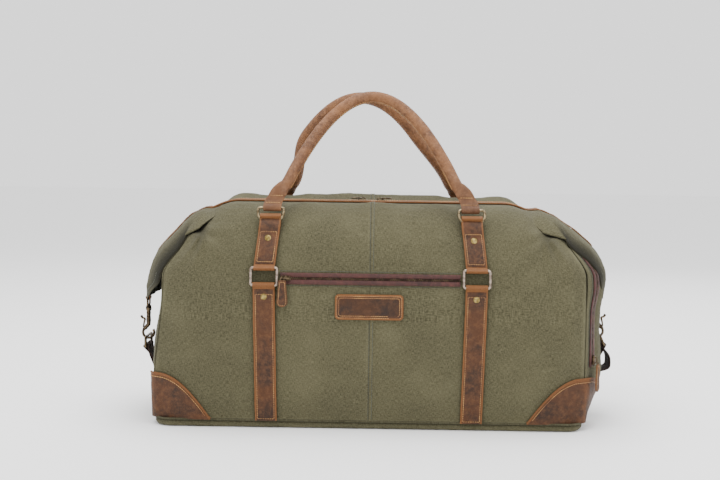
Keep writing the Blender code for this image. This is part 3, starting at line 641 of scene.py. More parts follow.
def strap_centre(z):
    """Middle of a handle column along X, which leans with height."""
    heights = (PANEL_BOTTOM, RING_LOW_Z, RING_HIGH_Z, DRING_LOW[1])
    places = (STRAP_BOTTOM_X, RING_X, RING_X, DRING_X)
    z = min(max(z, heights[0]), heights[-1])
    for i in range(3):
        if z <= heights[i + 1]:
            share = (z - heights[i]) / (heights[i + 1] - heights[i])
            return places[i] + (places[i + 1] - places[i]) * share
    return places[-1]


# ---------------------------------------------------------------- how the canvas hangs

DRAW_LOW = {-1: 11.0, 1: 0.0}
DRAW_HIGH = {-1: (27.0, 205.0, 262.0), 1: (26.0, 212.0, 268.0)}
CORNER_LIFT = 24.0
RIDGE_DIP = 15.0


def corner_pull(side, z):
    """How far the end of the canvas is drawn in at a height."""
    high, low_z, high_z = DRAW_HIGH[side]
    return DRAW_LOW[side] * ease(60.0, 190.0, z) + high * ease(low_z, high_z, z)


def drawn(x, y, z):
    """The top corners stand up and draw in toward the middle, where the wings fold over them."""
    side = 1 if x > 0.0 else -1
    share = ease(190.0, HALF_LENGTH, abs(x))
    lifted = z + share * (CORNER_LIFT * ease(WALL_TOP, 258.0, z) - RIDGE_DIP * ease(238.0, 262.0, z))
    return (x - side * corner_pull(side, lifted) * share, y, lifted)


PINCH = (262.0, 262.0)
SEAM_LAP = (-1.6, 5.0)
BACK_HUMP = 12.0
PATCH_REACH = 79.0
PATCH_WRAP = 70.0
PATCH_TALL = 62.0


def patch_top(station):
    """Height of a corner patch above the base, at a distance from the upright corner."""
    share = abs(station) / (PATCH_REACH if station < 0.0 else PATCH_WRAP + 8.0)
    return max(PATCH_TALL * math.cos(math.pi / 2 * min(share, 1.0) ** 1.15), 1.5)


def box_distance(x, z, middle, half):
    """Distance outside a rectangle, or 0 in it."""
    return math.hypot(max(abs(x - middle[0]) - half[0], 0.0), max(abs(z - middle[1]) - half[1], 0.0))


def freedom(x, y, z, front):
    """0 where straps, zips, patches and seams hold the canvas, 1 where it is free."""
    free = ease(1.0, 30.0, abs(abs(x) - strap_centre(z)) - STRAP_WIDTH / 2 - 2.0)
    free *= ease(3.0, 34.0, z - PANEL_BOTTOM)
    free *= ease(0.0, 24.0, HALF_LENGTH - abs(x))
    free *= ease(21.0, 52.0, abs(y))
    if abs(x) > HALF_LENGTH - PATCH_REACH - 20.0:
        over = z - PANEL_BOTTOM - patch_top(min(abs(x) - HALF_LENGTH, -0.01))
        free *= ease(3.0, 26.0, over)
    if front:
        free *= ease(3.0, 24.0, box_distance(x, z, (0.0, 207.0), (122.0, 8.0)))
        free *= ease(3.0, 20.0, box_distance(x, z, (-1.0, 169.5), (47.0, 17.5)))
    return free


def hang(x, y, z, front):
    """How far the canvas stands out of its plain shape, in mm: sag, folds and fine crinkles."""
    side = 1.0 if x > 0.0 else -1.0
    seed = 3.0 if front else 11.0
    free = freedom(x, y, z, front)
    sag = 2.6 * free * (0.75 + 0.25 * math.cos(math.pi * (z - 80.0) / 120.0))
    broad = 2.4 * wander(x, y, z, 78.0, seed) + 1.2 * wander(x, y * 0.6, z * 1.5, 34.0, seed + 4.0)
    dx = x - side * PINCH[0]
    dz = z - PINCH[1]
    reach = math.hypot(dx, dz)
    rays = math.sin(9.0 * math.atan2(dz, -side * dx) + 2.0 * wander(x, y, z, 60.0, seed))
    folds = 2.2 * rays * math.exp(-reach / 62.0) * ease(6.0, 34.0, reach)
    ripple = math.sin(z / 1.15 + 5.0 * wander(x, y, z, 42.0, seed + 2.0) + 2.2 * wander(x, y, z, 15.0, seed))
    ripple *= 0.24 * ease(0.02, 0.42, wander(x, y, z, 88.0, seed + 7.0) + 0.25 * ease(170.0, 260.0, z))
    crinkle = 0.36 * wander(x, y, z * 1.9, 7.5, seed) + 0.2 * wander(x * 1.6, y, z, 4.2, seed)
    pucker = 0.45 * math.sin(z / 1.5 + 3.0 * wander(x, y, z, 20.0))
    pucker *= math.exp(-abs(x) / 9.0) * ease(2.0, 6.0, abs(x))
    loose = 0.25 + 0.75 * free
    out = sag + free * (broad + folds) + loose * (ripple + crinkle) + pucker * ease(18.0, 50.0, z)
    out -= 1.1 * (1.0 - free)
    if SEAM_LAP[0] < x < SEAM_LAP[1]:
        out += 0.7
    out = min(out, 0.25 + 6.5 * free)
    if not front and z > 250.0:
        out += BACK_HUMP * math.exp(-((abs(y) - 52.0) / 24.0) ** 2) * (1.0 - ease(190.0, 260.0, abs(x)))
    return out


def canvas_panel(face, flip, end, side):
    """One panel of the front or back, from the base seam up to the zip trim."""
    front = flip > 0
    top = t_at_depth(0.0, ZIP_SLOT)
    columns = 118
    rows = 168
    points = []
    uvs = []
    wear = []
    shade = []
    for i in range(rows):
        t = top * i / (rows - 1)
        for j in range(columns):
            x = side * (GAP / 2 + (HALF_LENGTH - GAP / 2) * j / (columns - 1))
            y, z = profile_point(x, t)
            out = hang(x, y, z, front)
            points.append(drawn(*front_offset(x, t, out)))
            arc_length = z if t < WALL_SHARE else WALL_TOP + (t - WALL_SHARE) * 330.0
            uvs.append((x * MM, arc_length * MM))
            seam = min(HALF_LENGTH - abs(x), z - PANEL_BOTTOM + 2.0, abs(abs(x) - 3.0) + 4.5)
            wear.append(max(0.0, 0.75 - seam / 9.0) + 0.25 * max(wander(x, y, z, 30.0, 5.0), 0.0))
            # Painted shade in the valley of the fold at each drawn top corner, and along each handle column's
            # line over the panel's whole height, full under the strap and fading beside it.
            deep = 0.55 * max(0.0, 1.0 - math.hypot(abs(x) - 266.0, (z - 252.0) * 0.8) / 26.0)
            strap = abs(abs(x) - strap_centre(z)) - STRAP_WIDTH / 2
            shade.append(min(0.8, deep + 0.28 * math.exp(-max(strap, 0.0) / 3.5)))
    data = flipped((points, grid_faces(rows, columns, side < 0)), flip)
    node = f"{face}_panel_{end}"
    piece(f"{node}_cloth", data, "canvas", "bag", (node,), uvs, {"wear": wear, "shade": shade}, 80.0, 1.4)


def end_panel(end, side):
    """The end of the bag, slack over its contents, with the pocket side fuller."""
    columns = 96
    rows = 110
    top = ridge(HALF_LENGTH) - 15.0
    points = []
    uvs = []
    wear = []
    shade = []
    for i in range(rows):
        z = PANEL_BOTTOM + (top - PANEL_BOTTOM) * i / (rows - 1)
        width = depth_at(HALF_LENGTH, z) - GAP
        for j in range(columns):
            share = -1.0 + 2.0 * j / (columns - 1)
            y = width * share
            edge = width - abs(y)
            free = ease(0.0, 26.0, edge) * ease(4.0, 40.0, z - PANEL_BOTTOM)
            free *= ease(4.0, 24.0, z - PANEL_BOTTOM - patch_top(max(edge, 0.01)))
            free *= ease(4.0, 26.0, box_distance(y, z, (0.0, 60.0), (20.0, 14.0)))
            if side > 0:
                zip_y = -(min(depth_at(HALF_LENGTH, z), depth_at(HALF_LENGTH, WALL_TOP)) - 13.0)
                if 84.0 < z < 230.0:
                    free *= ease(8.0, 22.0, abs(y - zip_y))
            broad = 2.2 * wander(y, z, side * 50.0, 60.0) + 1.0 * wander(y, z * 1.5, side * 9.0, 27.0)
            crinkle = 0.34 * wander(y, z * 1.8, side * 5.0, 7.0) + 0.2 * wander(y * 1.5, z, side * 3.0, 4.0)
            out = min(free * (1.6 + broad) + (0.3 + 0.7 * free) * crinkle - 0.9 * (1.0 - free), 5.0 * free)
            points.append(drawn(side * (end_x(side, y, z) + out), y, z))
            uvs.append((y * MM, z * MM))
            wear.append(max(0.0, 0.8 - edge / 8.0))
            shade.append(0.25 * math.exp(-edge / 5.0))
    node = f"end_panel_{end}"
    paint = {"wear": wear, "shade": shade}
    data = (points, grid_faces(rows, columns, side < 0))
    piece(f"{node}_cloth", data, "canvas", "bag", (node,), uvs, paint, 80.0, 1.4)


WING_ROWS = {
    -1: ((240.0, 297.0, 266.0, 88.0), (260.0, 285.5, 257.0, 90.0), (282.0, 264.0, 243.0, 97.0),
         (302.0, 241.0, 228.0, 103.0), (312.0, 222.0, 212.0, 106.0), (318.0, 203.0, 197.0, 106.0),
         (321.0, 187.0, 184.0, 88.0), (321.0, 171.0, 170.0, 58.0)),
    1: ((240.0, 301.0, 268.0, 88.0), (262.0, 293.0, 260.0, 90.0), (289.0, 274.0, 250.0, 92.0),
        (312.0, 256.0, 236.0, 91.0), (326.0, 240.0, 221.0, 89.0), (334.0, 222.0, 206.0, 86.0),
        (336.0, 204.0, 192.0, 78.0), (334.0, 181.0, 178.0, 56.0)),
}
WING_HEM_OUT = {
    -1: (0.0, 0.0, 1.5, 3.0, 4.0, 7.0, 20.0, 31.0),
    1: (0.0, 0.0, 4.0, 14.0, 19.0, 24.0, 28.0, 34.0),
}
WING_WRAP = 3.4
WING_THICK = 6.0
WING_START = 205.0
WING_LEAD = 20
WING_LEAD_HALF = 62.0


def wing_spine(side):
    """Rows down a wing: its middle (x, z), its hem (x, z) and the hem's depth."""
    rows = []
    for (x, z, hem_z, half), out in zip(WING_ROWS[side], WING_HEM_OUT[side]):
        rows.append((x, z, HALF_LENGTH - corner_pull(side, hem_z) + out, hem_z, half))
    return curve_through(rows, 12)


def wing_half(spine, n):
    """Half width of a wing at a row."""
    if n < WING_LEAD:
        return WING_LEAD_HALF + (spine[0][4] - WING_LEAD_HALF) * n / WING_LEAD
    return spine[n - WING_LEAD][4]


def wing_point(side, spine, n, v, lift=0.0):
    """A point on a wing's outer face: row n, and v from -1 at the back hem to 1 at the front hem.

    The first rows grow out of the top canvas, so that the wing is a fold of it and no edge shows.
    """
    if n < WING_LEAD:
        share = n / WING_LEAD
        x = WING_START + (spine[0][0] - WING_START) * share
        y = wing_half(spine, n) * v
        base = drawn(side * x, y, height_at(x, min(abs(y), half_depth(x) - 1.0)))[2]
        middle = drawn(side * x, 0.0, height_at(x, 0.0))[2]
        rise = -2.0 + (spine[0][1] - middle + 2.0) * ease(0.0, 1.0, share)
        z = base + rise * (1.0 - abs(v) ** 4.0) - 3.4 * abs(v) ** 4.0
        crease = 1.2 * wander(x, y, side * 9.0, 24.0) + 0.3 * wander(x, y, side * 4.0, 6.0)
        z += ease(0.3, 1.0, share) * crease
        return Vector((side * x, y, z + lift))
    x, z, hem_x, hem_z, half = spine[n - WING_LEAD]
    near = max(n - WING_LEAD - 1, 0)
    far = min(near + 2, len(spine) - 1)
    along = Vector((spine[far][0] - spine[near][0], spine[far][1] - spine[near][1])).normalized()
    outward = (-along.y, along.x)
    tip = ease(len(spine) - 16, len(spine) - 1, n - WING_LEAD)
    y = half * v
    share = abs(v) ** WING_WRAP
    crease = 1.7 * wander(x, y, z + side * 40.0, 30.0) + 0.6 * wander(x, y * 1.4, z, 11.0, 2.0)
    crease += 0.3 * wander(x, y, z * 1.5, 4.5, 6.0)
    gather = 1.6 * math.sin(y / 7.0 + 1.5 * wander(x, y, z, 40.0))
    gather *= ease(0.35, 1.0, tip) * ease(1.0, 0.2, abs(v))
    out = (crease + gather) * (1.0 - 0.4 * tip) * ease(1.0, 0.8, abs(v)) + lift
    start = ease(0.0, 14.0, n - WING_LEAD)
    drop = -3.4 * (1.0 - start) * share
    return Vector((side * (x + (hem_x - x) * share + outward[0] * out), y,
                   z + (hem_z - z) * share + drop + outward[1] * out))


def wing(end, side):
    """The folded end of the top: it grows out of the top canvas and hangs over the bag's end."""
    spine = wing_spine(side)
    across = spread(-1.0, 1.0, 91)
    total = WING_LEAD + len(spine)
    outer = []
    inner = []
    wear = []
    shade = []
    for n in range(total):
        half = spine[max(n - WING_LEAD, 0)][4]
        tip = ease(total - 30, total - 12, n)
        for v in across:
            thick = WING_THICK * (1.0 - 0.7 * ease(0.55, 0.95, abs(v)))
            thick *= 0.35 + 0.65 * min(n / WING_LEAD, 1.0)
            outer.append(tuple(wing_point(side, spine, n, v)))
            inner.append(tuple(wing_point(side, spine, n, v, -thick)))
            edge = min((1.0 - abs(v)) * half, (total - 1 - n) * 2.2)
            wear.append(tip * max(0.0, 0.8 - edge / 6.0))
            # Painted shade on the band that turns in along both hems, starting just past the fold's root and
            # lighter toward the tip.
            deep = ease(0.62, 1.0, abs(v)) * ease(WING_LEAD - 2.0, WING_LEAD + 12.0, n)
            shade.append(0.95 * deep * (1.0 - 0.5 * tip))
    count = len(across)
    points = outer + inner
    layer = len(outer)
    faces = []
    for i in range(total - 1):
        for j in range(count - 1):
            a = i * count + j
            faces.append((a, a + count, a + count + 1, a + 1))
            faces.append((layer + a, layer + a + 1, layer + a + count + 1, layer + a + count))
    for i in range(total - 1):
        a = i * count
        faces.append((a, layer + a, layer + a + count, a + count))
        b = i * count + count - 1
        faces.append((b, b + count, layer + b + count, layer + b))
    for j in range(count - 1):
        faces.append((j, j + 1, layer + j + 1, layer + j))
        a = (total - 1) * count + j
        faces.append((a, layer + a, layer + a + 1, a + 1))
    if side > 0:
        faces = [tuple(reversed(f)) for f in faces]
    uvs = [(p[1] * MM, (abs(p[0]) - p[2]) * 0.7 * MM) for p in points]
    # The wing's underside carries painted shade all over.
    paint = {"wear": wear + [0.0] * layer, "shade": shade + [0.8] * layer}
    piece(f"wing_{end}_cloth", (points, faces), "canvas", "bag", (f"wing_{end}",), uvs, paint, 60.0)
    rows = []
    for sign in (-1.0, 1.0):
        line = []
        outs = []
        for n in range(total - 34, total - 3):
            half = spine[n - WING_LEAD][4]
            v = sign * (1.0 - 9.0 / half)
            line.append(wing_point(side, spine, n, v, 0.1))
            outs.append(wing_point(side, spine, n, v, 1.0) - line[-1])
        rows.append(stitch_mesh(line, outs, 3.3, 0.38))
    piece(f"wing_{end}_stitches", joined(rows), "canvas_thread", "bag")


WING_TRIM_ROWS = (6, 62)
TRIM_DEPTHS = (8.8, 20.1)
TRIM_STITCH_DEPTHS = (11.2, 18.0)
WING_TAPE_HALF = 8.4


def wing_trims(end, side):
    """The leather trims of the top opening where they run on over a wing, and the closed zip between."""
    spine = wing_spine(side)
    first, last = WING_TRIM_ROWS

    def lifted(n, y, lift):
        return wing_point(side, spine, n, y / wing_half(spine, n), lift)

    def band(low, high, lift, steps):
        rows = []
        for share in spread(0.0, 1.0, steps):
            y = low + (high - low) * share
            rim = abs(share - 0.5) * 2.0
            row = []
            for n in range(first, last):
                out = lifted(n, y, lift + 1.0) - lifted(n, y, lift)
                row.append((tuple(lifted(n, y, lift - 0.5 * ease(0.75, 1.0, rim))), tuple(out)))
            rows.append(row)
        data = sheet_between(rows, 1.0)
        if side < 0:
            data = turned(data)
        return data

    middle = sum(TRIM_DEPTHS) / 2
    for name, sign in (("front", -1.0), ("back", 1.0)):
        data = band(*sorted(sign * depth for depth in TRIM_DEPTHS), 1.9, 8)
        rims = [0.75 * ease(0.5, 1.0, abs(abs(p[1]) - middle) / 5.7) for p in data[0]]
        paint = {"wear": rims, "shade": [0.0] * len(rims)}
        piece(f"wing_trim_{name}_{end}", data, "leather", "bag", (), None, paint)
        parts = []
        for depth in TRIM_STITCH_DEPTHS:
            line = [lifted(n, sign * depth, 1.95) for n in range(first + 1, last - 1)]
            tops = [lifted(n, sign * depth, 3.0) for n in range(first + 1, last - 1)]
            parts.append(stitch_mesh(line, [top - low for top, low in zip(tops, line)], 3.4))
        piece(f"wing_trim_{name}_{end}_stitches", joined(parts), "gold_thread", "bag")
    data = band(-WING_TAPE_HALF, WING_TAPE_HALF, 0.6, 5)
    uvs = [(p[0] * MM, p[1] * MM) for p in data[0]]
    piece(f"wing_zip_tape_{end}", data, "zip_tape", "bag", (), uvs)


def base_piece():
    """The base with its rolled edge and the corded seam that joins it to the panels."""
    half_x = HALF_LENGTH + 1.0
    half_y = HALF_DEPTH - 8.0

    def loop(inset, z, wave=0.0):
        outline = rounded_rectangle(half_x - inset, half_y - inset, 26.0 - inset, 10)
        long = []
        for a, b in zip(outline, outline[1:] + outline[:1]):
            steps = max(int(math.hypot(b[0] - a[0], b[1] - a[1]) / 6.0), 1)
            for k in range(steps):
                x = a[0] + (b[0] - a[0]) * k / steps
                y = a[1] + (b[1] - a[1]) * k / steps
                push = 1.0 + wave * wander(x, y, z, 22.0) / half_y
                long.append((x * push, y * push, z))
        return long

    loops = [loop(12.0, 0.0), loop(5.0, 0.0), loop(2.4, 0.9, 0.5), loop(0.7, 2.6, 0.6), loop(0.0, 4.6, 0.6),
             loop(0.2, 7.0, 0.6), loop(1.0, BASE_TOP), loop(2.4, BASE_TOP), loop(3.0, 4.8), loop(7.0, 2.0)]
    data = ring_stack(loops)
    uvs = [(p[0] * MM, (p[1] + p[2]) * MM) for p in data[0]]
    shade = [0.55 * ease(5.0, 9.0, p[2]) for p in data[0]]
    wear = [0.7 * (1.0 - ease(1.0, 4.0, p[2])) for p in data[0]]
    paint = {"wear": wear, "shade": shade}
    piece("base_panel_cloth", data, "canvas", "bag", ("base_panel",), uvs, paint, 60.0)
    cord = [(p[0], p[1], BASE_TOP + 0.9) for p in loop(-0.2, BASE_TOP)]
    piping = wire_loop(cord, 1.5, 8)
    uvs = [(p[0] * MM, p[1] * MM) for p in piping[0]]
    paint = {"shade": [0.35] * len(piping[0]), "wear": [0.2] * len(piping[0])}
    piece("base_piping", piping, "canvas", "bag", (), uvs, paint, 60.0)


# ---------------------------------------------------------------- strips, edges and stitches

STITCH = 3.1
THREAD = 0.42


def strip(path, centre, width, thickness, crown=0.0, per_span=4, edge_steps=3):
    """A leather strap along (y, z) points: rounded edges, a slight crown and a worn rim.

    centre(z) gives its middle along X. Returns mesh data and its wear and shade values.
    """
    line = [Vector((0.0, p[0], p[1])) for p in curve_through(path, per_span)]
    half = width / 2
    radius = thickness / 2
    section = []
    for k in range(edge_steps + 1):
        turn = math.pi / 2 * k / edge_steps
        section.append((half - radius + radius * math.cos(turn), radius * math.sin(turn)))
    inner = [half * s for s in (0.82, 0.66, 0.4, 0.0)]
    top = section + [(a, radius + crown * (1.0 - (a / half) ** 2)) for a in inner]
    top += [(-a, b) for a, b in reversed(top[:-1])]
    bottom = [(-a, -b) for a, b in section[1:]] + [(a, -b) for a, b in reversed(section[1:])]
    outline = top + bottom
    loops = []
    wear = []
    shade = []
    for i, spot in enumerate(line):
        along = (line[min(i + 1, len(line) - 1)] - line[max(i - 1, 0)]).normalized()
        out = Vector((0.0, -along.z, along.y))
        middle = centre(spot.z)
        loop = []
        for across, through in outline:
            ripple = 0.16 * wander(across * 3.0, spot.y, spot.z, 14.0) * (1.0 if through > 0 else 0.0)
            wobble = 0.25 * wander(math.copysign(40.0, across), spot.y, spot.z, 16.0)
            x = middle + across + (wobble if abs(across) > half * 0.7 else 0.0)
            place = spot + out * (through + ripple)
            loop.append((x, place.y, place.z))
            rim = abs(across) / half
            wear.append(ease(0.62, 1.0, rim))
            shade.append(0.35 * (1.0 - ease(0.3, 0.85, rim)))
        loops.append(loop)
    return ring_stack(loops), {"wear": wear, "shade": shade}


STITCH_PROFILE = ((0.06, -0.35, 0.5), (0.22, 0.15, 0.95), (0.5, 0.32, 1.1),
                  (0.78, 0.15, 0.95), (0.94, -0.35, 0.5))


def stitch_mesh(spots, outs, spacing=STITCH, thread=THREAD, sunk=0.1):
    """Separate stitches along a line of points, each a short plump thread with its ends down."""
    spots = [Vector(p) for p in spots]
    outs = [Vector(o).normalized() for o in outs]
    lengths = [0.0]
    for a, b in zip(spots, spots[1:]):
        lengths.append(lengths[-1] + (b - a).length)
    total = lengths[-1]
    count = max(int(total / spacing), 1)

    def at(distance):
        distance = min(max(distance, 0.0), total)
        for i in range(len(spots) - 1):
            if lengths[i + 1] >= distance and lengths[i + 1] > lengths[i]:
                share = (distance - lengths[i]) / (lengths[i + 1] - lengths[i])
                return spots[i].lerp(spots[i + 1], share), outs[i].lerp(outs[i + 1], share)
        return spots[-1], outs[-1]

    points = []
    faces = []
    pace = total / count
    for n in range(count):
        base = len(points)
        for share, height, size in STITCH_PROFILE:
            spot, out = at((n + share) * pace)
            before, _ = at((n + share) * pace - 0.4)
            after, _ = at((n + share) * pace + 0.4)
            along = (after - before).normalized()
            wide = along.cross(out).normalized()
            lift = thread * height - sunk
            for k in range(5):
                turn = 2 * math.pi * k / 5
                ring = wide * math.cos(turn) + out * math.sin(turn)
                points.append(tuple(spot + out * lift + ring * (thread * size)))
        for ring in range(4):
            for k in range(5):
                a = base + ring * 5 + k
                b = base + ring * 5 + (k + 1) % 5
                faces.append((a, b, b + 5, a + 5))
        faces.append(tuple(base + k for k in reversed(range(5))))
        faces.append(tuple(base + 20 + k for k in range(5)))
    return points, faces


def along_strip(path, centre, offset, across, per_span=4):
    """A line on a strip's outer face at a distance from its middle, with its outward directions."""
    line = [Vector((0.0, p[0], p[1])) for p in curve_through(path, per_span)]
    spots = []
    outs = []
    for i, spot in enumerate(line):
        along = (line[min(i + 1, len(line) - 1)] - line[max(i - 1, 0)]).normalized()
        out = Vector((0.0, -along.z, along.y))
        place = spot + out * offset
        spots.append((centre(spot.z) + across, place.y, place.z))
        outs.append(out)
    return spots, outs


def between(spots, outs, low, high):
    """The part of a line that lies between two heights."""
    kept = [i for i, p in enumerate(spots) if low <= p[2] <= high]
    return [spots[i] for i in kept], [outs[i] for i in kept]


def rivet_mesh(spot, out, radius=4.3):
    """A domed rivet cap with a flat rim."""
    spot = Vector(spot)
    out = Vector(out).normalized()
    wide = out.cross(Vector((0.0, 0.0, 1.0)))
    if wide.length < 0.1:
        wide = out.cross(Vector((1.0, 0.0, 0.0)))
    wide.normalize()
    tall = out.cross(wide)
    loops = []
    for share, height in ((1.0, -0.3), (1.0, 0.35), (0.93, 0.7), (0.82, 0.78), (0.76, 0.66), (0.7, 0.95),
                          (0.5, 1.35), (0.25, 1.58), (0.05, 1.65)):
        loop = []
        for k in range(28):
            turn = 2 * math.pi * k / 28
            ring = wide * math.cos(turn) + tall * math.sin(turn)
            loop.append(tuple(spot + out * height + ring * (radius * share)))
        loops.append(loop)
    return ring_stack(loops)


# ---------------------------------------------------------------- handle columns

LOWER_RIVET_Z = 182.0
LINK_RIVET_Z = 259.0


def bar_centre(z):
    point = front_offset(RING_X, t_at_height(RING_X, z), BAR_OFFSET)
    return point[1], point[2]


def dring_frame():
    low = Vector(DRING_LOW)
    rise = Vector((math.sin(DRING_LEAN), math.cos(DRING_LEAN)))
    return low, rise, low + rise * DRING_HEIGHT


def lower_strap_path():
    bar = bar_centre(RING_LOW_Z)
    path = surface_line(RING_X, PANEL_BOTTOM + 0.3, 120.0, LAYER_IN, 8)
    path += surface_line(RING_X, 140.0, RING_LOW_Z - 9.0, LAYER_OUT, 4)
    path += arc(bar, LOOP_RADIUS, 200.0, 0.0, 9)
    path += surface_line(RING_X, RING_LOW_Z - 7.5, RING_LOW_Z - 27.0, LAYER_IN, 3)
    return path


def link_path():
    bar = bar_centre(RING_HIGH_Z)
    low, rise, _ = dring_frame()
    crown = low + rise * 7.6
    middle = 249.0
    path = surface_line(RING_X, middle, RING_HIGH_Z + 6.0, LAYER_IN, 4)
    path += arc(bar, LOOP_RADIUS, 0.0, -190.0, 9)
    path += surface_line(RING_X, RING_HIGH_Z + 8.0, 264.0, LAYER_OUT, 6)
    wide = LOOP_RADIUS + 1.0
    path += [tuple(low + Vector((-wide, -0.5)))]
    path += arc(tuple(crown), wide, 160.0, 10.0, 7)
    path += [tuple(low + Vector((wide, -1.5)))]
    path += surface_line(RING_X, 267.0, middle + 0.6, LAYER_IN, 4)
    return path


def column_stitches(path, centre, width, low, high, closing=(), offset=LEATHER / 2 + 0.05, outermost=None):
    """Stitch rows down both edges of a strap and across it at the closing heights."""
    parts = []
    for across in (-(width / 2 - 3.6), width / 2 - 3.6):
        spots, outs = along_strip(path, centre, offset, across)
        if outermost:
            spots, outs = spots[outermost[0]:outermost[1]], outs[outermost[0]:outermost[1]]
        spots, outs = between(spots, outs, low, high)
        parts.append(stitch_mesh(spots, outs))
    spots, outs = along_strip(path, centre, offset, 0.0)
    if outermost:
        spots, outs = spots[outermost[0]:outermost[1]], outs[outermost[0]:outermost[1]]
    for height in closing:
        nearest = min(range(len(spots)), key=lambda i: abs(spots[i][2] - height))
        spot = spots[nearest]
        half = width / 2 - 3.6
        row = [(spot[0] - half, spot[1], spot[2]), (spot[0] + half, spot[1], spot[2])]
        parts.append(stitch_mesh(row, [outs[nearest]] * 2))
    return joined(parts)


def ring_wire(side, low, high, half_width, radius):
    low = Vector(low)
    high = Vector(high)
    middle = (low + high) / 2
    rise = (high - low).normalized()
    path = []
    for across, up in rounded_rectangle(half_width, (high - low).length / 2, radius, 6):
        spot = middle + rise * up
        path.append((side * RING_X + across, spot.x, spot.y))
    return wire_loop(path, WIRE, 14)


def dring_wire(side):
    low, rise, _ = dring_frame()
    half = RING_HALF_WIDTH
    bow = 14.5
    outline = []
    for degrees in range(10, 171, 8):
        turn = math.radians(degrees)
        outline.append((half * math.cos(turn), bow - bow * math.sin(turn)))
    corner = ((0.0, 5.0), (0.3, 2.3), (1.2, 0.9), (3.5, 0.0))
    outline += [(-half + inset, DRING_HEIGHT - drop) for inset, drop in corner]
    outline += [(half - inset, DRING_HEIGHT - drop) for inset, drop in reversed(corner)]
    path = []
    for across, up in outline:
        spot = low + rise * up
        path.append((side * DRING_X + across, spot.x, spot.y))
    return wire_loop(path, WIRE, 14)


def rivet(face, flip, end, side, name, height, body):
    """A rivet on a column, at a height."""
    t = t_at_height(RING_X, height)
    spot = front_offset(RING_X, t, LAYER_OUT + LEATHER / 2 + 0.2)
    normal = profile_normal(RING_X, t)
    cap = rivet_mesh((side * strap_centre(height), spot[1], spot[2]), (0.0, normal.x, normal.y))
    piece(f"{face}_rivet_{name}_{end}", flipped(cap, flip), "rivet", body)


def column(face, flip, end, side):
    """Lower strap, square ring, link and D-ring of one handle foot."""
    def centre(z):
        return side * strap_centre(z)

    path = lower_strap_path()
    data, paint = strip(path, centre, STRAP_WIDTH, LEATHER, 0.35)
    node = f"{face}_strap_{end}"
    piece(f"{node}_leather", flipped(data, flip), "leather", "bag", (node,), None, paint)
    rows = column_stitches(path, centre, STRAP_WIDTH, 12.0, RING_LOW_Z - 9.0, (RING_LOW_Z - 10.5, 13.5), 0.95,
                           (0, 11 * 4))
    piece(f"{node}_stitches", flipped(rows, flip), "gold_thread", "bag")
    rivet(face, flip, end, side, "low", LOWER_RIVET_Z, "bag")

    ring = ring_wire(side, bar_centre(RING_LOW_Z), bar_centre(RING_HIGH_Z), RING_HALF_WIDTH, RING_CORNER)
    node = f"{face}_square_ring_{end}"
    piece(f"{node}_metal", flipped(ring, flip), "nickel", f"{face}_ring_{end}", (node,))

    path = link_path()
    body = f"{face}_link_{end}"
    data, paint = strip(path, centre, STRAP_WIDTH - 1.0, LEATHER, 0.25)
    piece(f"{body}_leather", flipped(data, flip), "leather", body, (body,), None, paint)
    rows = column_stitches(path, centre, STRAP_WIDTH - 1.0, RING_HIGH_Z + 8.5, 271.0,
                           (RING_HIGH_Z + 9.0, 269.5), 0.95, (12 * 4, 20 * 4))
    piece(f"{body}_stitches", flipped(rows, flip), "gold_thread", body)
    rivet(face, flip, end, side, "high", LINK_RIVET_Z, body)
    node = f"{face}_dring_{end}"
    piece(f"{node}_metal", flipped(dring_wire(side), flip), "antique_brass", body, (node,))


def handle_stations():
    """Sections of one half of a handle: (x, up, out, half width, half thickness, flat)."""
    _, _, bar = dring_frame()
    top = Vector(HANDLE_TOP)
    rise = (top - bar).normalized()
    thick = 2.2
    loop = WIRE + 0.7 + thick / 2
    layer = thick / 2 + 0.2
    flat_half = 12.5
    tab_x = DRING_X - 2.0
    stations = [(tab_x - 3.0, 16.0, -layer, flat_half, thick / 2, 1.0),
                (tab_x, 6.5, -layer, flat_half, thick / 2, 1.0)]
    for angle in range(-60, -301, -30):
        turn = math.radians(angle)
        stations.append((tab_x, loop * math.cos(turn), loop * math.sin(turn), flat_half, thick / 2, 1.0))
    stations.append((tab_x - 0.5, 6.5, layer, flat_half, thick / 2, 1.0))
    stations.append((tab_x - 4.5, 16.0, layer, flat_half - 0.5, thick / 2, 1.0))
    stations.append((tab_x - 9.0, 24.0, layer + 1.0, flat_half - 1.5, 3.0, 0.0))
    stations.append((tab_x - 13.5, 31.0, 1.0, 9.5, 6.0, 0.0))
    foot = (HANDLE_ARCH_FOOT - bar.y) / rise.y
    arch_tall = (top - bar).length - foot
    for x in spread(HANDLE_LEG_X * 0.9, 0.0, 12):
        up = foot + arch_tall * (1.0 - (x / HANDLE_LEG_X) ** 2)
        stations.append((x, up, 0.0, HANDLE_RADIUS, HANDLE_RADIUS, 0.0))
    return bar, rise, stations


def handle_lean(face, x, up):
    """How far a handle leans to one side, which grows from its feet to its top."""
    return HANDLE_LEAN[face] * ease(40.0, 120.0, up) * (1.0 - 0.35 * x / HANDLE_LEG_X)


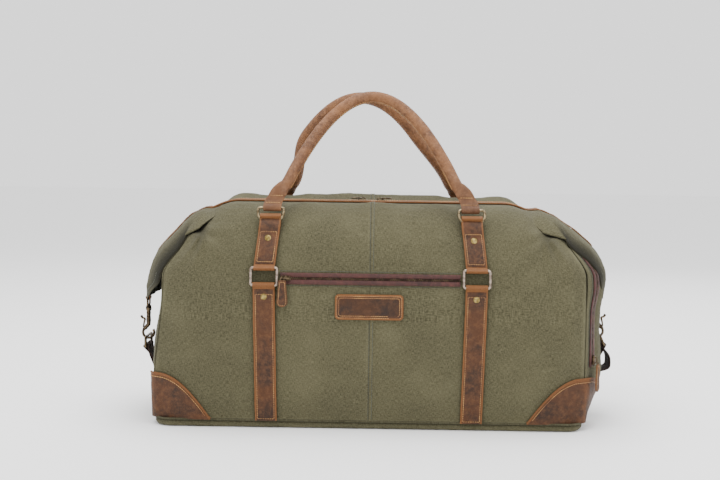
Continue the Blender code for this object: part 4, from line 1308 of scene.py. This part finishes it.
def handle(face, flip):
    """A rolled leather handle: round in the grip, flat where it folds round the D-rings."""
    bar, rise, half = handle_stations()
    outward = Vector((-rise.y, rise.x))
    facing = Vector((0.0, outward.x, outward.y))
    whole = half + [(-s[0], *s[1:]) for s in reversed(half[:-1])]
    whole = curve_through(whole, 6)
    spots = []
    for x, up, out, *_ in whole:
        flat = bar + rise * up + outward * out
        spots.append(Vector((x + handle_lean(face, x, up), flat.x, flat.y)))
    sides = 28
    loops = []
    wear = []
    shade = []
    seam = []
    seam_out = []
    for i, (_, up, _, half_wide, half_thick, flat) in enumerate(whole):
        along = (spots[min(i + 1, len(spots) - 1)] - spots[max(i - 1, 0)]).normalized()
        sideways = Vector((1.0 if i < len(whole) / 2 else -1.0, 0.0, 0.0))
        free_wide = along.cross(facing).normalized()
        in_plane = Vector((0.0, along.y, along.z))
        if flat > 0.02 and in_plane.length > 0.01:
            flat_deep = sideways.cross(in_plane.normalized())
            wide = free_wide.lerp(sideways, min(flat, 1.0)).normalized()
            deep = free_wide.cross(along).lerp(flat_deep, min(flat, 1.0)).normalized()
        else:
            wide = free_wide
            deep = wide.cross(along).normalized()
        flatness = min(max(half_thick / half_wide, 0.0), 1.0)
        power = min(0.35 + 0.65 * flatness, 1.0)
        loop = []
        for k in range(sides):
            turn = 2 * math.pi * (k + 0.5) / sides
            c = math.cos(turn)
            s = math.sin(turn)
            place = spots[i]
            bumps = 1.0 + (0.02 * wander(place.x, place.y, place.z + 30.0 * c, 16.0)) * flatness
            across = math.copysign(abs(c) ** power, c) * half_wide * bumps
            through = math.copysign(abs(s) ** power, s) * half_thick * bumps
            loop.append(tuple(place + wide * across + deep * through))
            wear.append(0.55 * (1.0 - flatness) * ease(0.75, 1.0, abs(c)) + 0.25 * flatness * max(s, 0.0))
            shade.append(0.75 * (1.0 - ease(20.0, 52.0, up)) * (0.6 + 0.4 * (1.0 - abs(c))))
        loops.append(loop)
        if flatness > 0.95:
            seam.append(tuple(spots[i] - wide * (half_wide * 0.99)))
            seam_out.append(-wide)
    data = ring_stack(loops)
    body = f"{face}_handle"
    node = f"handle_{face}"
    paint = {"wear": wear, "shade": shade}
    piece(f"{node}_leather", flipped(data, flip), "handle_leather", body, (node,), None, paint)
    parts = []
    for sign in (-1.0, 1.0):
        shifted = [tuple(Vector(p) + facing * (sign * 1.6)) for p in seam]
        parts.append(stitch_mesh(shifted, seam_out, 3.6))
    tab_x = DRING_X - 2.0
    for side in (-1, 1):
        for up, reach in ((6.8, 10.0), (17.5, 9.0)):
            lean = 0.0 if up < 10.0 else 4.8
            flat = bar + rise * up + outward * (2.65 if up < 10.0 else 2.9)
            middle = side * (tab_x - 0.6 - lean)
            row = [(middle - reach, flat.x, flat.y), (middle + reach, flat.x, flat.y)]
            parts.append(stitch_mesh(row, [facing] * 2))
    piece(f"{node}_stitches", flipped(joined(parts), flip), "gold_thread", body)


for face_name, face_flip in FACES:
    for end_name, end_side in SIDES:
        column(face_name, face_flip, end_name, end_side)
    handle(face_name, face_flip)


# ---------------------------------------------------------------- zips

TRIM_REACH = 244.0
TOOTH_PITCH = 2.5


def teeth(points, outs, across, width=4.4):
    """Interlocked zip teeth along a line: small blocks, alternately from either side."""
    spots = [Vector(p) for p in points]
    lengths = [0.0]
    for a, b in zip(spots, spots[1:]):
        lengths.append(lengths[-1] + (b - a).length)
    count = int(lengths[-1] / (TOOTH_PITCH / 2))
    parts = []
    index = 0
    for n in range(count):
        distance = (n + 0.5) * lengths[-1] / count
        while lengths[index + 1] < distance:
            index += 1
        share = (distance - lengths[index]) / (lengths[index + 1] - lengths[index])
        spot = spots[index].lerp(spots[index + 1], share)
        along = (spots[index + 1] - spots[index]).normalized()
        out = Vector(outs[index]).normalized()
        wide = Vector(across[index]).normalized()
        sign = 1.0 if n % 2 else -1.0
        middle = spot + wide * (sign * width * 0.2)
        corners = []
        for h in (-0.5, 0.75):
            pinch = 1.0 if h < 0 else 0.75
            for a, b in ((-1, -1), (1, -1), (1, 1), (-1, 1)):
                place = middle + along * (a * 0.5 * pinch) + wide * (b * width * 0.32 * pinch) + out * h
                corners.append(tuple(place))
        faces = [(3, 2, 1, 0), (4, 5, 6, 7), (0, 1, 5, 4), (1, 2, 6, 5), (2, 3, 7, 6), (3, 0, 4, 7)]
        parts.append((corners, faces))
    return joined(parts)


def sheet_between(rows, thickness):
    """A thin closed strip from rows of (outer point, outward direction)."""
    outer = [tuple(p) for row in rows for p, _ in row]
    inner = [tuple(Vector(p) - Vector(o).normalized() * thickness) for row in rows for p, o in row]
    width = len(rows[0])
    height = len(rows)
    layer = width * height
    faces = []
    for i in range(height - 1):
        for j in range(width - 1):
            a = i * width + j
            faces.append((a, a + 1, a + width + 1, a + width))
            faces.append((layer + a, layer + a + width, layer + a + width + 1, layer + a + 1))
    for j in range(width - 1):
        faces.append((j, layer + j, layer + j + 1, j + 1))
        a = (height - 1) * width + j
        faces.append((a, a + 1, layer + a + 1, layer + a))
    for i in range(height - 1):
        a = i * width
        faces.append((a, a + width, layer + a + width, layer + a))
        b = i * width + width - 1
        faces.append((b, layer + b, layer + b + width, b + width))
    return outer + inner, faces


def top_zip():
    """Leather trims along the opening, each with two stitch rows, and the toothed tape between."""
    stations = spread(-TRIM_REACH, TRIM_REACH, 165)
    depths = (8.8, 9.3, 10.6, 13.0, 16.0, 18.4, 19.6, 20.1)
    for face, flip in FACES:
        rows = []
        wear = []
        for depth in depths:
            row = []
            rim = abs(depth - 14.4) / 5.7
            for x in stations:
                lift = 2.1 - 0.7 * ease(0.8, 1.0, rim) + 0.15 * wander(x, depth * 2.0, 0.0, 13.0)
                row.append(resting(x, t_at_depth(x, depth), lift))
                wear.append(ease(0.55, 1.0, rim))
            rows.append(row)
        data = sheet_between(rows, 1.5)
        paint = {"wear": wear + wear, "shade": [0.0] * (2 * len(wear))}
        node = f"zip_trim_{face}"
        piece(f"{node}_leather", flipped(data, flip), "leather", "bag", (node,), None, paint)
        parts = []
        for depth in TRIM_STITCH_DEPTHS:
            line, outs = zip(*(resting(x, t_at_depth(x, depth), 2.15) for x in stations[1:-1]))
            parts.append(stitch_mesh(list(line), list(outs), 3.4))
        piece(f"{node}_stitches", flipped(joined(parts), flip), "gold_thread", "bag")
    stations = spread(-240.0, 240.0, 161)
    rows = []
    for y in (-8.4, -5.0, -2.8, 0.0, 2.8, 5.0, 8.4):
        rows.append([((x, y, ridge(x) - 0.3 - 0.3 * (abs(y) < 4.0)), (0.0, 0.0, 1.0)) for x in stations])
    data = sheet_between(rows, 1.3)
    uvs = [(p[0] * MM, p[1] * MM) for p in data[0]]
    piece("top_zip_tape_cloth", data, "zip_tape", "bag", ("top_zip_tape",), uvs)
    stations = spread(-238.0, 238.0, 161)
    line = [(x, 0.0, ridge(x) - 0.45) for x in stations]
    data = teeth(line, [(0.0, 0.0, 1.0)] * len(line), [(0.0, 1.0, 0.0)] * len(line), 5.0)
    piece("top_zip_teeth", data, "dark_bronze", "bag", (), None, None, 20.0)


POCKET_HALF = 122.5
POCKET_LOW = 199.2
POCKET_HIGH = 214.8
POCKET_MIDDLE = 207.2


def front_pocket():
    """Rolled leather lips above and below the teeth, with a stitch row on the canvas beyond."""
    stations = spread(-POCKET_HALF, POCKET_HALF, 121)

    def lip(low, high, name, nodes):
        rows = []
        for share in (0.0, 0.1, 0.25, 0.45, 0.65, 0.82, 0.94, 1.0):
            row = []
            z = low + (high - low) * share
            t = t_at_height(0.0, z)
            for x in stations:
                plump = 0.9 * math.sin(math.pi * share) ** 0.6
                row.append(resting(x, t, 1.3 + plump + 0.12 * wander(x, z, 5.0, 9.0)))
            rows.append(row)
        data = sheet_between(rows, 0.9)
        count = len(data[0])
        paint = {"wear": [0.25] * count, "shade": [0.0] * count}
        piece(name, data, "zip_lip", "bag", nodes, None, paint)

    lip(POCKET_LOW, POCKET_MIDDLE - 1.7, "front_zip_lip_low", ("front_zip_tape",))
    lip(POCKET_MIDDLE + 1.7, POCKET_HIGH, "front_zip_lip_high", ())
    rows = []
    for z in spread(POCKET_MIDDLE - 2.6, POCKET_MIDDLE + 2.6, 5):
        t = t_at_height(0.0, z)
        rows.append([resting(x, t, 1.0) for x in stations])
    data = sheet_between(rows, 0.5)
    uvs = [(p[0] * MM, p[2] * MM) for p in data[0]]
    piece("front_zip_backing", data, "zip_tape", "bag", (), uvs)
    t = t_at_height(0.0, POCKET_MIDDLE)
    normal = profile_normal(0.0, t)
    out = (0.0, normal.x, normal.y)
    line = [front_offset(x, t, 1.25) for x in stations]
    up = (0.0, -normal.y, normal.x)
    data = teeth(line, [out] * len(line), [up] * len(line), 3.4)
    piece("front_zip_teeth", data, "dark_bronze", "bag", (), None, None, 20.0)
    parts = []
    for z in (POCKET_LOW - 1.7, POCKET_HIGH + 2.4):
        t = t_at_height(0.0, z)
        normal = profile_normal(0.0, t)
        line = [front_offset(x, t, hang(x, *profile_point(x, t), True) + 0.05) for x in stations]
        parts.append(stitch_mesh(line, [(0.0, normal.x, normal.y)] * len(line), 3.2, 0.4))
    piece("front_zip_stitches", joined(parts), "canvas_thread", "bag")


def centre_seam():
    """Two stitch rows up the lapped centre seam, on the front and the back."""
    for face, flip in FACES:
        parts = []
        for x in (-0.7, 4.0):
            line = []
            outs = []
            for t in spread(0.01, t_at_depth(0.0, 22.0), 260):
                y, z = profile_point(x, t)
                covered = flip > 0 and (POCKET_LOW - 3.5 < z < POCKET_HIGH + 4.0 or 150.0 < z < 189.0)
                if covered:
                    if len(line) > 3:
                        parts.append(stitch_mesh(line, outs, 3.3, 0.38))
                    line = []
                    outs = []
                    continue
                point, out = resting(x, t, hang(x, y, z, flip > 0) + 0.05)
                line.append(point)
                outs.append(out)
            parts.append(stitch_mesh(line, outs, 3.3, 0.38))
        piece(f"centre_seam_{face}", flipped(joined(parts), flip), "canvas_thread", "bag")


LABEL_MIDDLE = (-1.0, 169.5)
LABEL_HALF = (46.5, 17.3)
LABEL_CORNER = 5.5


def label():
    """A plain leather patch with rounded corners, a dark centre and two stitch rows."""
    insets = ((0.0, 0.55), (0.0, 1.5), (0.5, 2.1), (2.0, 2.3),
              (4.0, 2.2), (6.4, 2.25), (8.0, 2.2), (11.0, 2.2))
    loops = []
    wear = []
    shade = []
    full = rounded_rectangle(LABEL_HALF[0], LABEL_HALF[1], LABEL_CORNER, 6)
    for inset, lift in insets:
        corner = max(LABEL_CORNER - inset, 0.8)
        outline = rounded_rectangle(LABEL_HALF[0] - inset, LABEL_HALF[1] - inset, corner, 6)
        dense = []
        for n, (a, b) in enumerate(zip(outline, outline[1:] + outline[:1])):
            fa = full[n]
            fb = full[(n + 1) % len(full)]
            steps = max(int(math.hypot(fb[0] - fa[0], fb[1] - fa[1]) / 3.0), 1)
            for k in range(steps):
                dense.append((a[0] + (b[0] - a[0]) * k / steps, a[1] + (b[1] - a[1]) * k / steps))
        row = []
        for across, up in dense:
            x = LABEL_MIDDLE[0] + across
            z = LABEL_MIDDLE[1] + up
            row.append(front_offset(x, t_at_height(0.0, z), lift + 0.12 * wander(x, z, 3.0, 11.0)))
        loops.append(row)
        wear += [1.0 - ease(0.0, 7.0, inset)] * len(dense)
        shade += [0.75 * ease(3.0, 8.0, inset)] * len(dense)
    data = ring_stack([list(reversed(row)) for row in loops])
    paint = {"wear": wear, "shade": shade}
    piece("label_patch_leather", data, "leather", "bag", ("label_patch",), None, paint)
    parts = []
    for inset in (2.6, 5.2):
        outline = rounded_rectangle(LABEL_HALF[0] - inset, LABEL_HALF[1] - inset, 3.0, 5)
        outline.append(outline[0])
        line = []
        outs = []
        for a, b in zip(outline, outline[1:]):
            for k in range(6):
                x = LABEL_MIDDLE[0] + a[0] + (b[0] - a[0]) * k / 6
                t = t_at_height(0.0, LABEL_MIDDLE[1] + a[1] + (b[1] - a[1]) * k / 6)
                point, out = resting(x, t, 2.4)
                line.append(point)
                outs.append(out)
        parts.append(stitch_mesh(line, outs, 3.0))
    piece("label_patch_stitches", joined(parts), "gold_thread", "bag")


def patch_place(side, station, z, offset):
    """A point over a low corner: stations run along the front and then round onto the end."""
    if station <= -10.0:
        x = HALF_LENGTH + station
        return Vector((side * x, -(depth_at(x, z) + offset), z))
    corner_y = depth_at(HALF_LENGTH, z)
    if station >= 12.0:
        y = -(corner_y - station)
        return Vector((side * (end_x(side, y, z) + offset + 2 * GAP), y, z))
    front = Vector((side * (HALF_LENGTH - 10.0), -(depth_at(HALF_LENGTH - 10.0, z) + offset), z))
    y = -(corner_y - 12.0)
    rear = Vector((side * (end_x(side, y, z) + offset + 2 * GAP), y, z))
    reach = side * (HALF_LENGTH + 4.4 + offset)
    knee = Vector((reach, -(corner_y + offset + 1.0), z))
    share = (station + 10.0) / 22.0
    first = front.lerp(knee, share)
    return first.lerp(knee.lerp(rear, share), share)


def corner_patch(face, flip, end, side):
    """Leather over a low corner, with a piped and stitched upper edge."""
    stations = spread(-PATCH_REACH, -10.0, 30) + spread(-8.0, 10.0, 12) + spread(12.0, PATCH_WRAP, 24)
    bottom = PANEL_BOTTOM + 0.3
    levels = 30
    rows = []
    wear = []
    for i in range(levels):
        row = []
        for station in stations:
            top = patch_top(station)
            z = bottom + top * i / (levels - 1)
            here = patch_place(side, station, z, 2.0)
            low = patch_place(side, station - 0.5, z, 2.0)
            high = patch_place(side, station + 0.5, z, 2.0)
            out = (high - low).cross(Vector((0.0, 0.0, 1.0))) * -side
            if out.dot(here - Vector((side * 200.0, 0.0, z))) < 0.0:
                out = -out
            here += out.normalized() * (0.35 * wander(*here, 20.0) + 0.2 * wander(*here, 8.0))
            row.append((tuple(here), tuple(out)))
            fold = 0.6 * (1.0 - ease(0.0, 9.0, abs(station - 1.0)))
            wear.append(max(0.0, 1.0 - (bottom + top - z) / 8.0, fold))
        rows.append(row)
    data = sheet_between(rows, 1.3)
    if side < 0:
        data = turned(data)
    node = f"corner_patch_{face}_{end}"
    shade = [0.35 * (1.0 - w) for w in wear]
    paint = {"wear": wear + wear, "shade": shade + shade}
    piece(f"{node}_leather", flipped(data, flip), "leather", "bag", (node,), None, paint)
    edge = [patch_place(side, s, bottom + patch_top(s) + 0.4, 1.6) for s in stations]
    pipe = tube(edge, 1.35, 10, (0.0, 0.0, 1.0))
    paint = {"wear": [0.8] * len(pipe[0]), "shade": [0.1] * len(pipe[0])}
    piece(f"{node}_piping", flipped(pipe, flip), "leather", "bag", (), None, paint)
    line = []
    outs = []
    for station in stations:
        top = patch_top(station)
        if top < 8.0:
            continue
        here = patch_place(side, station, bottom + top - 4.6, 2.25)
        inner = patch_place(side, station, bottom + top - 4.6, 1.0)
        line.append(here)
        outs.append(here - inner)
    piece(f"{node}_stitches", flipped(stitch_mesh(line, outs, 3.3, 0.45), flip), "gold_thread", "bag")


for face_name, face_flip in FACES:
    for end_name, end_side in SIDES:
        canvas_panel(face_name, face_flip, end_name, end_side)
for end_name, end_side in SIDES:
    end_panel(end_name, end_side)
    wing(end_name, end_side)
    wing_trims(end_name, end_side)
base_piece()
top_zip()
front_pocket()
centre_seam()
label()
for face_name, face_flip in FACES:
    for end_name, end_side in SIDES:
        corner_patch(face_name, face_flip, end_name, end_side)


# ---------------------------------------------------------------- sliders and pulls

FRONT_SLIDER_X = -114.5
FRONT_ZIP_HEIGHT = 207.0
SLIDER_LENGTH = 13.0
SLIDER_WIDTH = 8.0
SLIDER_TALL = 3.6
PULL_WIDE = 15.0
PULL_NARROW = 9.0
FRONT_PULL_LENGTH = 36.0
SIDE_PULL_LENGTH = 38.0
SIDE_SLIDER_Z = 97.0
SIDE_SLIDER_TURN = -30.0
TOP_SLIDER_X = 13.0


def placed(mesh_data, axes, origin):
    """Mesh data moved from (along, across, out) to the given directions and origin."""
    along, across, out = (Vector(a) for a in axes)
    start = Vector(origin)
    return moved(mesh_data, lambda p: start + along * p[0] + across * p[1] + out * p[2])


def slider_mesh(length=SLIDER_LENGTH, width=SLIDER_WIDTH, tall=SLIDER_TALL):
    """A zip slider lying flat: a waisted body, a raised rim and the bridge for its pull."""
    outline = []
    for x, y in rounded_rectangle(length / 2, width / 2, 2.0, 5):
        waist = 1.0 - 0.16 * ease(-0.2, 0.9, -x / (length / 2))
        outline.append((x, y * waist))
    loops = []
    for z, shrink in ((-tall / 2, 0.94), (-tall * 0.4, 1.0), (tall * 0.22, 1.0), (tall * 0.4, 0.9),
                      (tall * 0.43, 0.78), (tall * 0.3, 0.7), (tall * 0.3, 0.1)):
        loops.append([(x * shrink, y * shrink, z) for x, y in outline])
    bridge = [(-4.4, 0.0, tall * 0.25), (-4.1, 0.0, tall * 0.45 + 1.0), (-2.5, 0.0, tall * 0.45 + 1.9),
              (1.5, 0.0, tall * 0.45 + 1.9), (3.1, 0.0, tall * 0.45 + 1.0), (3.5, 0.0, tall * 0.25)]
    arch = tube(curve_through(bridge, 4), 0.75, 8)
    return joined([ring_stack(loops), arch])


def pull_outline(length, wide, narrow, steps=10):
    """Half widths of a teardrop pull from its top to its round foot: (down, half width)."""
    rows = []
    for share in spread(0.0, 0.55, steps):
        rows.append((length * share, narrow / 2 + (wide / 2 - 1.0 - narrow / 2) * ease(-0.2, 0.6, share)))
    centre = length - wide * 0.45
    for angle in spread(0.0, 84.0, steps):
        turn = math.radians(angle)
        rows.append((centre + wide * 0.45 * math.sin(turn), wide / 2 * math.cos(turn)))
    return rows


def leather_pull(name, body, node, pivot, across, out, length):
    """Two stitched layers of leather, hung from a small metal link."""
    across = Vector(across).normalized()
    out = Vector(out).normalized()
    down = Vector((0.0, 0.0, -1.0))
    pivot = Vector(pivot)
    rows = pull_outline(length, PULL_WIDE, PULL_NARROW)
    loops = []
    wear = []
    shade = []
    for n, (drop, half) in enumerate(rows):
        half = max(half, 1.2)
        loop = []
        for k in range(20):
            turn = 2 * math.pi * k / 20
            c = math.copysign(abs(math.cos(turn)) ** 0.45, math.cos(turn))
            s = math.copysign(abs(math.sin(turn)) ** 0.7, math.sin(turn))
            plump = 1.1 * (1.0 + 0.12 * wander(drop, c * 9.0, s * 5.0, 7.0))
            end = 0.65 if n in (0, len(rows) - 1) else 1.0
            place = pivot + down * (drop + 1.5) + across * (c * half) + out * (s * plump * end)
            loop.append(tuple(place))
            rim = max(abs(c) ** 3.0, ease(0.86, 1.0, drop / length), 1.0 - ease(0.0, 0.1, drop / length))
            wear.append(0.75 * rim)
            shade.append(0.25 * (1.0 - rim))
        loops.append(loop)
    paint = {"wear": wear, "shade": shade}
    piece(f"{name}_leather", ring_stack(loops), "leather", body, (node,), None, paint)
    line = []
    for drop, half in rows[1:]:
        line.append(pivot + down * min(drop + 1.5, length - 0.8) + across * max(half - 2.0, 0.3) + out * 1.12)
    mirror = [p - across * (2.0 * (p - pivot).dot(across)) for p in reversed(line)]
    path = line + mirror
    path.append(path[0])
    stitches = stitch_mesh(path, [tuple(out)] * len(path), 2.7, 0.34, 0.05)
    piece(f"{name}_stitches", stitches, "gold_thread", body)
    ring = []
    for x, y in rounded_rectangle(2.6, 2.5, 1.2, 4):
        ring.append(tuple(pivot + across * x + down * (y + 0.6) + out * 0.2))
    piece(f"{name}_link", wire_loop(ring, 0.6, 8), "dark_bronze", body)


def front_slider():
    seat = front_offset(FRONT_SLIDER_X, t_at_height(0.0, FRONT_ZIP_HEIGHT), 3.0)
    normal = profile_normal(FRONT_SLIDER_X, t_at_height(0.0, FRONT_ZIP_HEIGHT))
    out = Vector((0.0, normal.x, normal.y))
    up = Vector((0.0, -out.z, out.y)) * -1.0
    origin = Vector((seat[0], seat[1] - SLIDER_TALL / 2 + 0.6, seat[2]))
    axes = ((-1.0, 0.0, 0.0), up, out)
    piece("front_zip_slider_metal", placed(slider_mesh(), axes, origin), "dark_bronze", "front_slider",
          ("front_zip_slider",))
    hook = (seat[0] - 4.6, seat[1] - SLIDER_TALL - 2.8, seat[2] - 1.0)
    leather_pull("front_zip_pull", "front_pull", "front_zip_pull", hook, (1.0, 0.0, 0.0), (0.0, -1.0, 0.0),
                 FRONT_PULL_LENGTH)


def side_zip_line(z):
    return -(min(depth_at(HALF_LENGTH, z), depth_at(HALF_LENGTH, WALL_TOP)) - 13.0)


def side_out(z):
    """Outward direction of the right end at its zip."""
    y = side_zip_line(z)
    low = Vector((end_x(1, y - 1.0, z), y - 1.0, z))
    high = Vector((end_x(1, y + 1.0, z), y + 1.0, z))
    out = (high - low).cross(Vector((0.0, 0.0, 1.0)))
    return out.normalized() if out.x > 0.0 else -out.normalized()


def side_zip():
    """The end pocket's zip: dark lips each side of the teeth, and a stitch row beyond each."""
    heights = spread(88.0, 236.0, 106)

    def place(z, across, lift):
        y = side_zip_line(z) + across
        return Vector(drawn(end_x(1, y, z) + lift, y, z))

    def lip(low, high, name, nodes):
        rows = []
        for share in (0.0, 0.15, 0.35, 0.6, 0.85, 1.0):
            across = low + (high - low) * share
            plump = 1.0 * math.sin(math.pi * share) ** 0.6
            rows.append([(tuple(place(z, across, 1.2 + plump)), tuple(side_out(z))) for z in heights])
        data = sheet_between(rows, 0.8)
        count = len(data[0])
        paint = {"wear": [0.2] * count, "shade": [0.0] * count}
        piece(name, turned(data), "zip_lip", "bag", nodes, None, paint)

    lip(-6.4, -1.6, "side_zip_lip_front", ("side_zip_tape",))
    lip(1.6, 6.4, "side_zip_lip_rear", ())
    line = [tuple(place(z, 0.0, 1.3)) for z in heights]
    outs = [tuple(side_out(z)) for z in heights]
    acrosses = [tuple(side_out(z).cross(Vector((0.0, 0.0, 1.0)))) for z in heights]
    piece("side_zip_teeth", teeth(line, outs, acrosses, 3.4), "dark_bronze", "bag", (), None, None, 20.0)
    backing = []
    for across in (-2.4, 0.0, 2.4):
        backing.append([(tuple(place(z, across, 1.0)), tuple(side_out(z))) for z in heights])
    data = sheet_between(backing, 0.5)
    uvs = [(p[1] * MM, p[2] * MM) for p in data[0]]
    piece("side_zip_backing", turned(data), "zip_tape", "bag", (), uvs)
    rows = []
    for across in (-8.2, 8.2):
        rows.append(stitch_mesh([tuple(place(z, across, 0.3)) for z in heights], outs, 3.2, 0.4))
    piece("side_zip_stitches", joined(rows), "canvas_thread", "bag")


def side_slider():
    z = SIDE_SLIDER_Z
    y = side_zip_line(z)
    middle = Vector((end_x(1, y, z) + 2.4 + SLIDER_TALL / 2 + 0.6, y, z))
    turn = Matrix.Rotation(math.radians(SIDE_SLIDER_TURN), 3, "Z")
    out = turn @ Vector((1.0, 0.0, 0.0))
    across = turn @ Vector((0.0, 1.0, 0.0))
    axes = ((0.0, 0.0, -1.0), -across, out)
    data = placed(slider_mesh(), axes, middle - out * 0.4)
    piece("side_zip_slider_metal", data, "dark_bronze", "side_slider", ("side_zip_slider",))
    hook = (middle[0] + 4.2, y - 2.4, z - 4.0)
    spin = Matrix.Rotation(math.radians(90.0 + SIDE_SLIDER_TURN), 3, "Z")
    leather_pull("side_zip_pull", "side_pull", "side_zip_pull", hook, spin @ Vector((1.0, 0.0, 0.0)),
                 spin @ Vector((0.0, -1.0, 0.0)), SIDE_PULL_LENGTH)


def top_sliders():
    for end, side in SIDES:
        x = side * TOP_SLIDER_X
        low = RIDGE_HEIGHT + 0.1
        middle = (x, 0.0, low + SLIDER_TALL / 2)
        axes = ((side, 0.0, 0.0), (0.0, side, 0.0), (0.0, 0.0, 1.0))
        data = placed(slider_mesh(), axes, middle)
        node = f"top_zip_slider_{end}"
        piece(f"{node}_metal", data, "dark_bronze", f"top_slider_{end}", (node,))
        hinge = (x + side * 2.0, 0.0, low + SLIDER_TALL + 1.4)
        loop = rounded_rectangle(7.0, 3.4, 2.6, 6)
        path = [(hinge[0] + side * (across + 7.0), up, hinge[2]) for across, up in loop]
        node = f"top_zip_pull_{end}"
        piece(f"{node}_metal", wire_loop(path, 1.0, 10), "dark_bronze", f"top_pull_{end}", (node,))


# ---------------------------------------------------------------- clips, rings and webbing at the ends

CHAPE_WIDTH = 38.0
CHAPE_THICK = 1.6
SIDE_RING_HALF = 22.5
HOOK_WIRE = 1.9
HOOK_BOW = 8.2
HOOK_LENGTH = 52.0
CLIP_X = {-1: 325.5, 1: 334.0}
CLIP_TOP = {-1: 164.0, 1: 176.0}


def end_strip(path, thickness, width, side, crown=0.2):
    """A strap in the plane of the bag's length, along (x, z) points."""
    data, paint = strip(path, lambda z: 0.0, width, thickness, crown)
    points = [(side * p[1], p[0], p[2]) for p in data[0]]
    faces = [tuple(reversed(f)) for f in data[1]] if side > 0 else data[1]
    return (points, faces), paint


def clip(end, side):
    x = CLIP_X[side]
    top = CLIP_TOP[side]
    loop = 1.5 + 0.5 + 0.8
    tab = [(x - 3.4, top + 7.0), (x - 2.8, top + 3.0)]
    tab += arc((x, top), loop, 150.0, 390.0, 9)
    tab += [(x + 1.4, top + 4.0), (x - 1.0, top + 7.0)]
    data, paint = end_strip(tab, 1.6, 11.0, side)
    paint["wear"] = [0.75] * len(paint["wear"])
    piece(f"wing_tab_{end}_leather", data, "leather", "bag", (f"wing_tab_{end}",), None, paint)

    eye = [(side * x, across, top + up - 5.5) for across, up in rounded_rectangle(8.6, 5.5, 2.5, 6)]
    centre = top - HOOK_LENGTH
    stem = [(x, top - drop) for drop in (10.2, 13.0, 15.0, 18.0, 20.0, 23.0, 26.0, 34.0, 40.0)]
    stem_radii = [2.4, 3.9, 4.3, 4.3, 3.1, 3.4, 3.0, 3.5, 3.0]
    bow = arc((x, centre), HOOK_BOW, 125.0, 395.0, 40)
    bow_radii = [HOOK_WIRE + 1.0 * (1.0 - ease(0, 6, n)) for n in range(40)]
    spots = [(side * p[0], 0.0, p[1]) for p in stem + bow]
    pin = tube([(side * x, -5.6, top - 16.5), (side * x, 5.6, top - 16.5)], 1.9, 12, (0.0, 0.0, 1.0))
    hook = joined([wire_loop(eye, 1.5, 12), tube(spots, stem_radii + bow_radii, 14), pin])
    piece(f"wing_hook_{end}_metal", hook, "dark_bronze", "bag", (f"wing_hook_{end}",))

    rail = x + 5.6
    path = [(rail + 2.2, centre + 7.6), (rail + 1.2, centre + 14.0), (rail, centre + 20.0),
            (rail + 3.5, centre + 21.5), (rail + 5.5, centre + 25.0)]
    bent = curve_through(path, 6)
    radii = [1.2 + 0.3 * ease(0, 10, n) + 0.5 * ease(14, 24, n) for n in range(len(bent))]
    gate = tube([(side * p[0], 0.0, p[1]) for p in bent], radii, 12)
    piece(f"hook_gate_{end}_metal", gate, "dark_bronze", f"gate_{end}", (f"hook_gate_{end}",))

    bow_low = top - HOOK_LENGTH - HOOK_BOW
    high = (x, bow_low + HOOK_WIRE + WIRE + GAP)
    low = (x + 6.0, high[1] - 14.0) if side > 0 else (x, high[1] - 14.0)
    first = Vector(low)
    last = Vector(high)
    middle = (first + last) / 2
    rise = (last - first).normalized()
    ring = []
    for across, up in rounded_rectangle(SIDE_RING_HALF, (last - first).length / 2, 3.0, 6):
        spot = middle + rise * up
        ring.append((side * spot.x, across, spot.y))
    piece(f"side_ring_{end}_metal", wire_loop(ring, WIRE, 14), "dark_bronze", "bag", (f"side_ring_{end}",))

    loop = WIRE + 0.5 + CHAPE_THICK / 2
    root_z = 62.0 if side < 0 else 68.0
    root = end_x(side, -CHAPE_WIDTH / 2, root_z) + 1.6
    if side < 0:
        path = [(root, root_z), (root + 8.0, root_z + 18.0)]
        path += arc(low, loop, 195.0, -25.0, 9)
        path += [(root + 10.6, root_z + 18.0), (root + 2.4, root_z - 1.0)]
    else:
        path = [(root, root_z + 1.0), (root + 6.0, root_z + 12.0), (low[0] - 4.0, low[1] - 14.0)]
        path += arc(low, loop, 190.0, -20.0, 9)
        path += [(low[0] + 8.0, low[1] - 14.0), (low[0] + 10.5, low[1] - 26.0)]
        path += [(low[0] + 8.0, low[1] - 34.0), (low[0] - 4.0, low[1] - 38.0), (root + 1.0, root_z - 2.0)]
    data, paint = end_strip(path, CHAPE_THICK, CHAPE_WIDTH, side, 0.1)
    uvs = [(p[1] * MM, (p[0] * side + p[2]) * MM) for p in data[0]]
    piece(f"side_chape_{end}_webbing", data, "webbing", "bag", (f"side_chape_{end}",), uvs, paint)


front_slider()
side_zip()
side_slider()
top_sliders()
for end_name, end_side in SIDES:
    clip(end_name, end_side)

# ---------------------------------------------------------------- inner pieces

def inner_lining():
    """The lining, drawn in at the top corners with the canvas around it."""
    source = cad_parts["lining"]
    points = []
    for vertex in source.data.vertices:
        x, y, z = source.matrix_world @ vertex.co / MM
        near = ease(150.0, HALF_LENGTH, abs(x)) * ease(60.0, 200.0, z)
        x, y, z = drawn(x, y, z)
        points.append((x - math.copysign(4.0 * near, x), y * (1.0 - 0.03 * near), z - 3.0 * near))
    faces = [tuple(face.vertices) for face in source.data.polygons]
    piece("lining_cloth", (points, faces), "lining", "bag", ("lining",))


inner_lining()
for node_name, look in (("front_pocket_pouch", "lining"), ("side_pocket_pouch", "lining"),
                        ("base_board", "board")):
    inner_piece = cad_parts[node_name]
    inner_piece.data.materials.clear()
    inner_piece.data.materials.append(LOOKS[look])
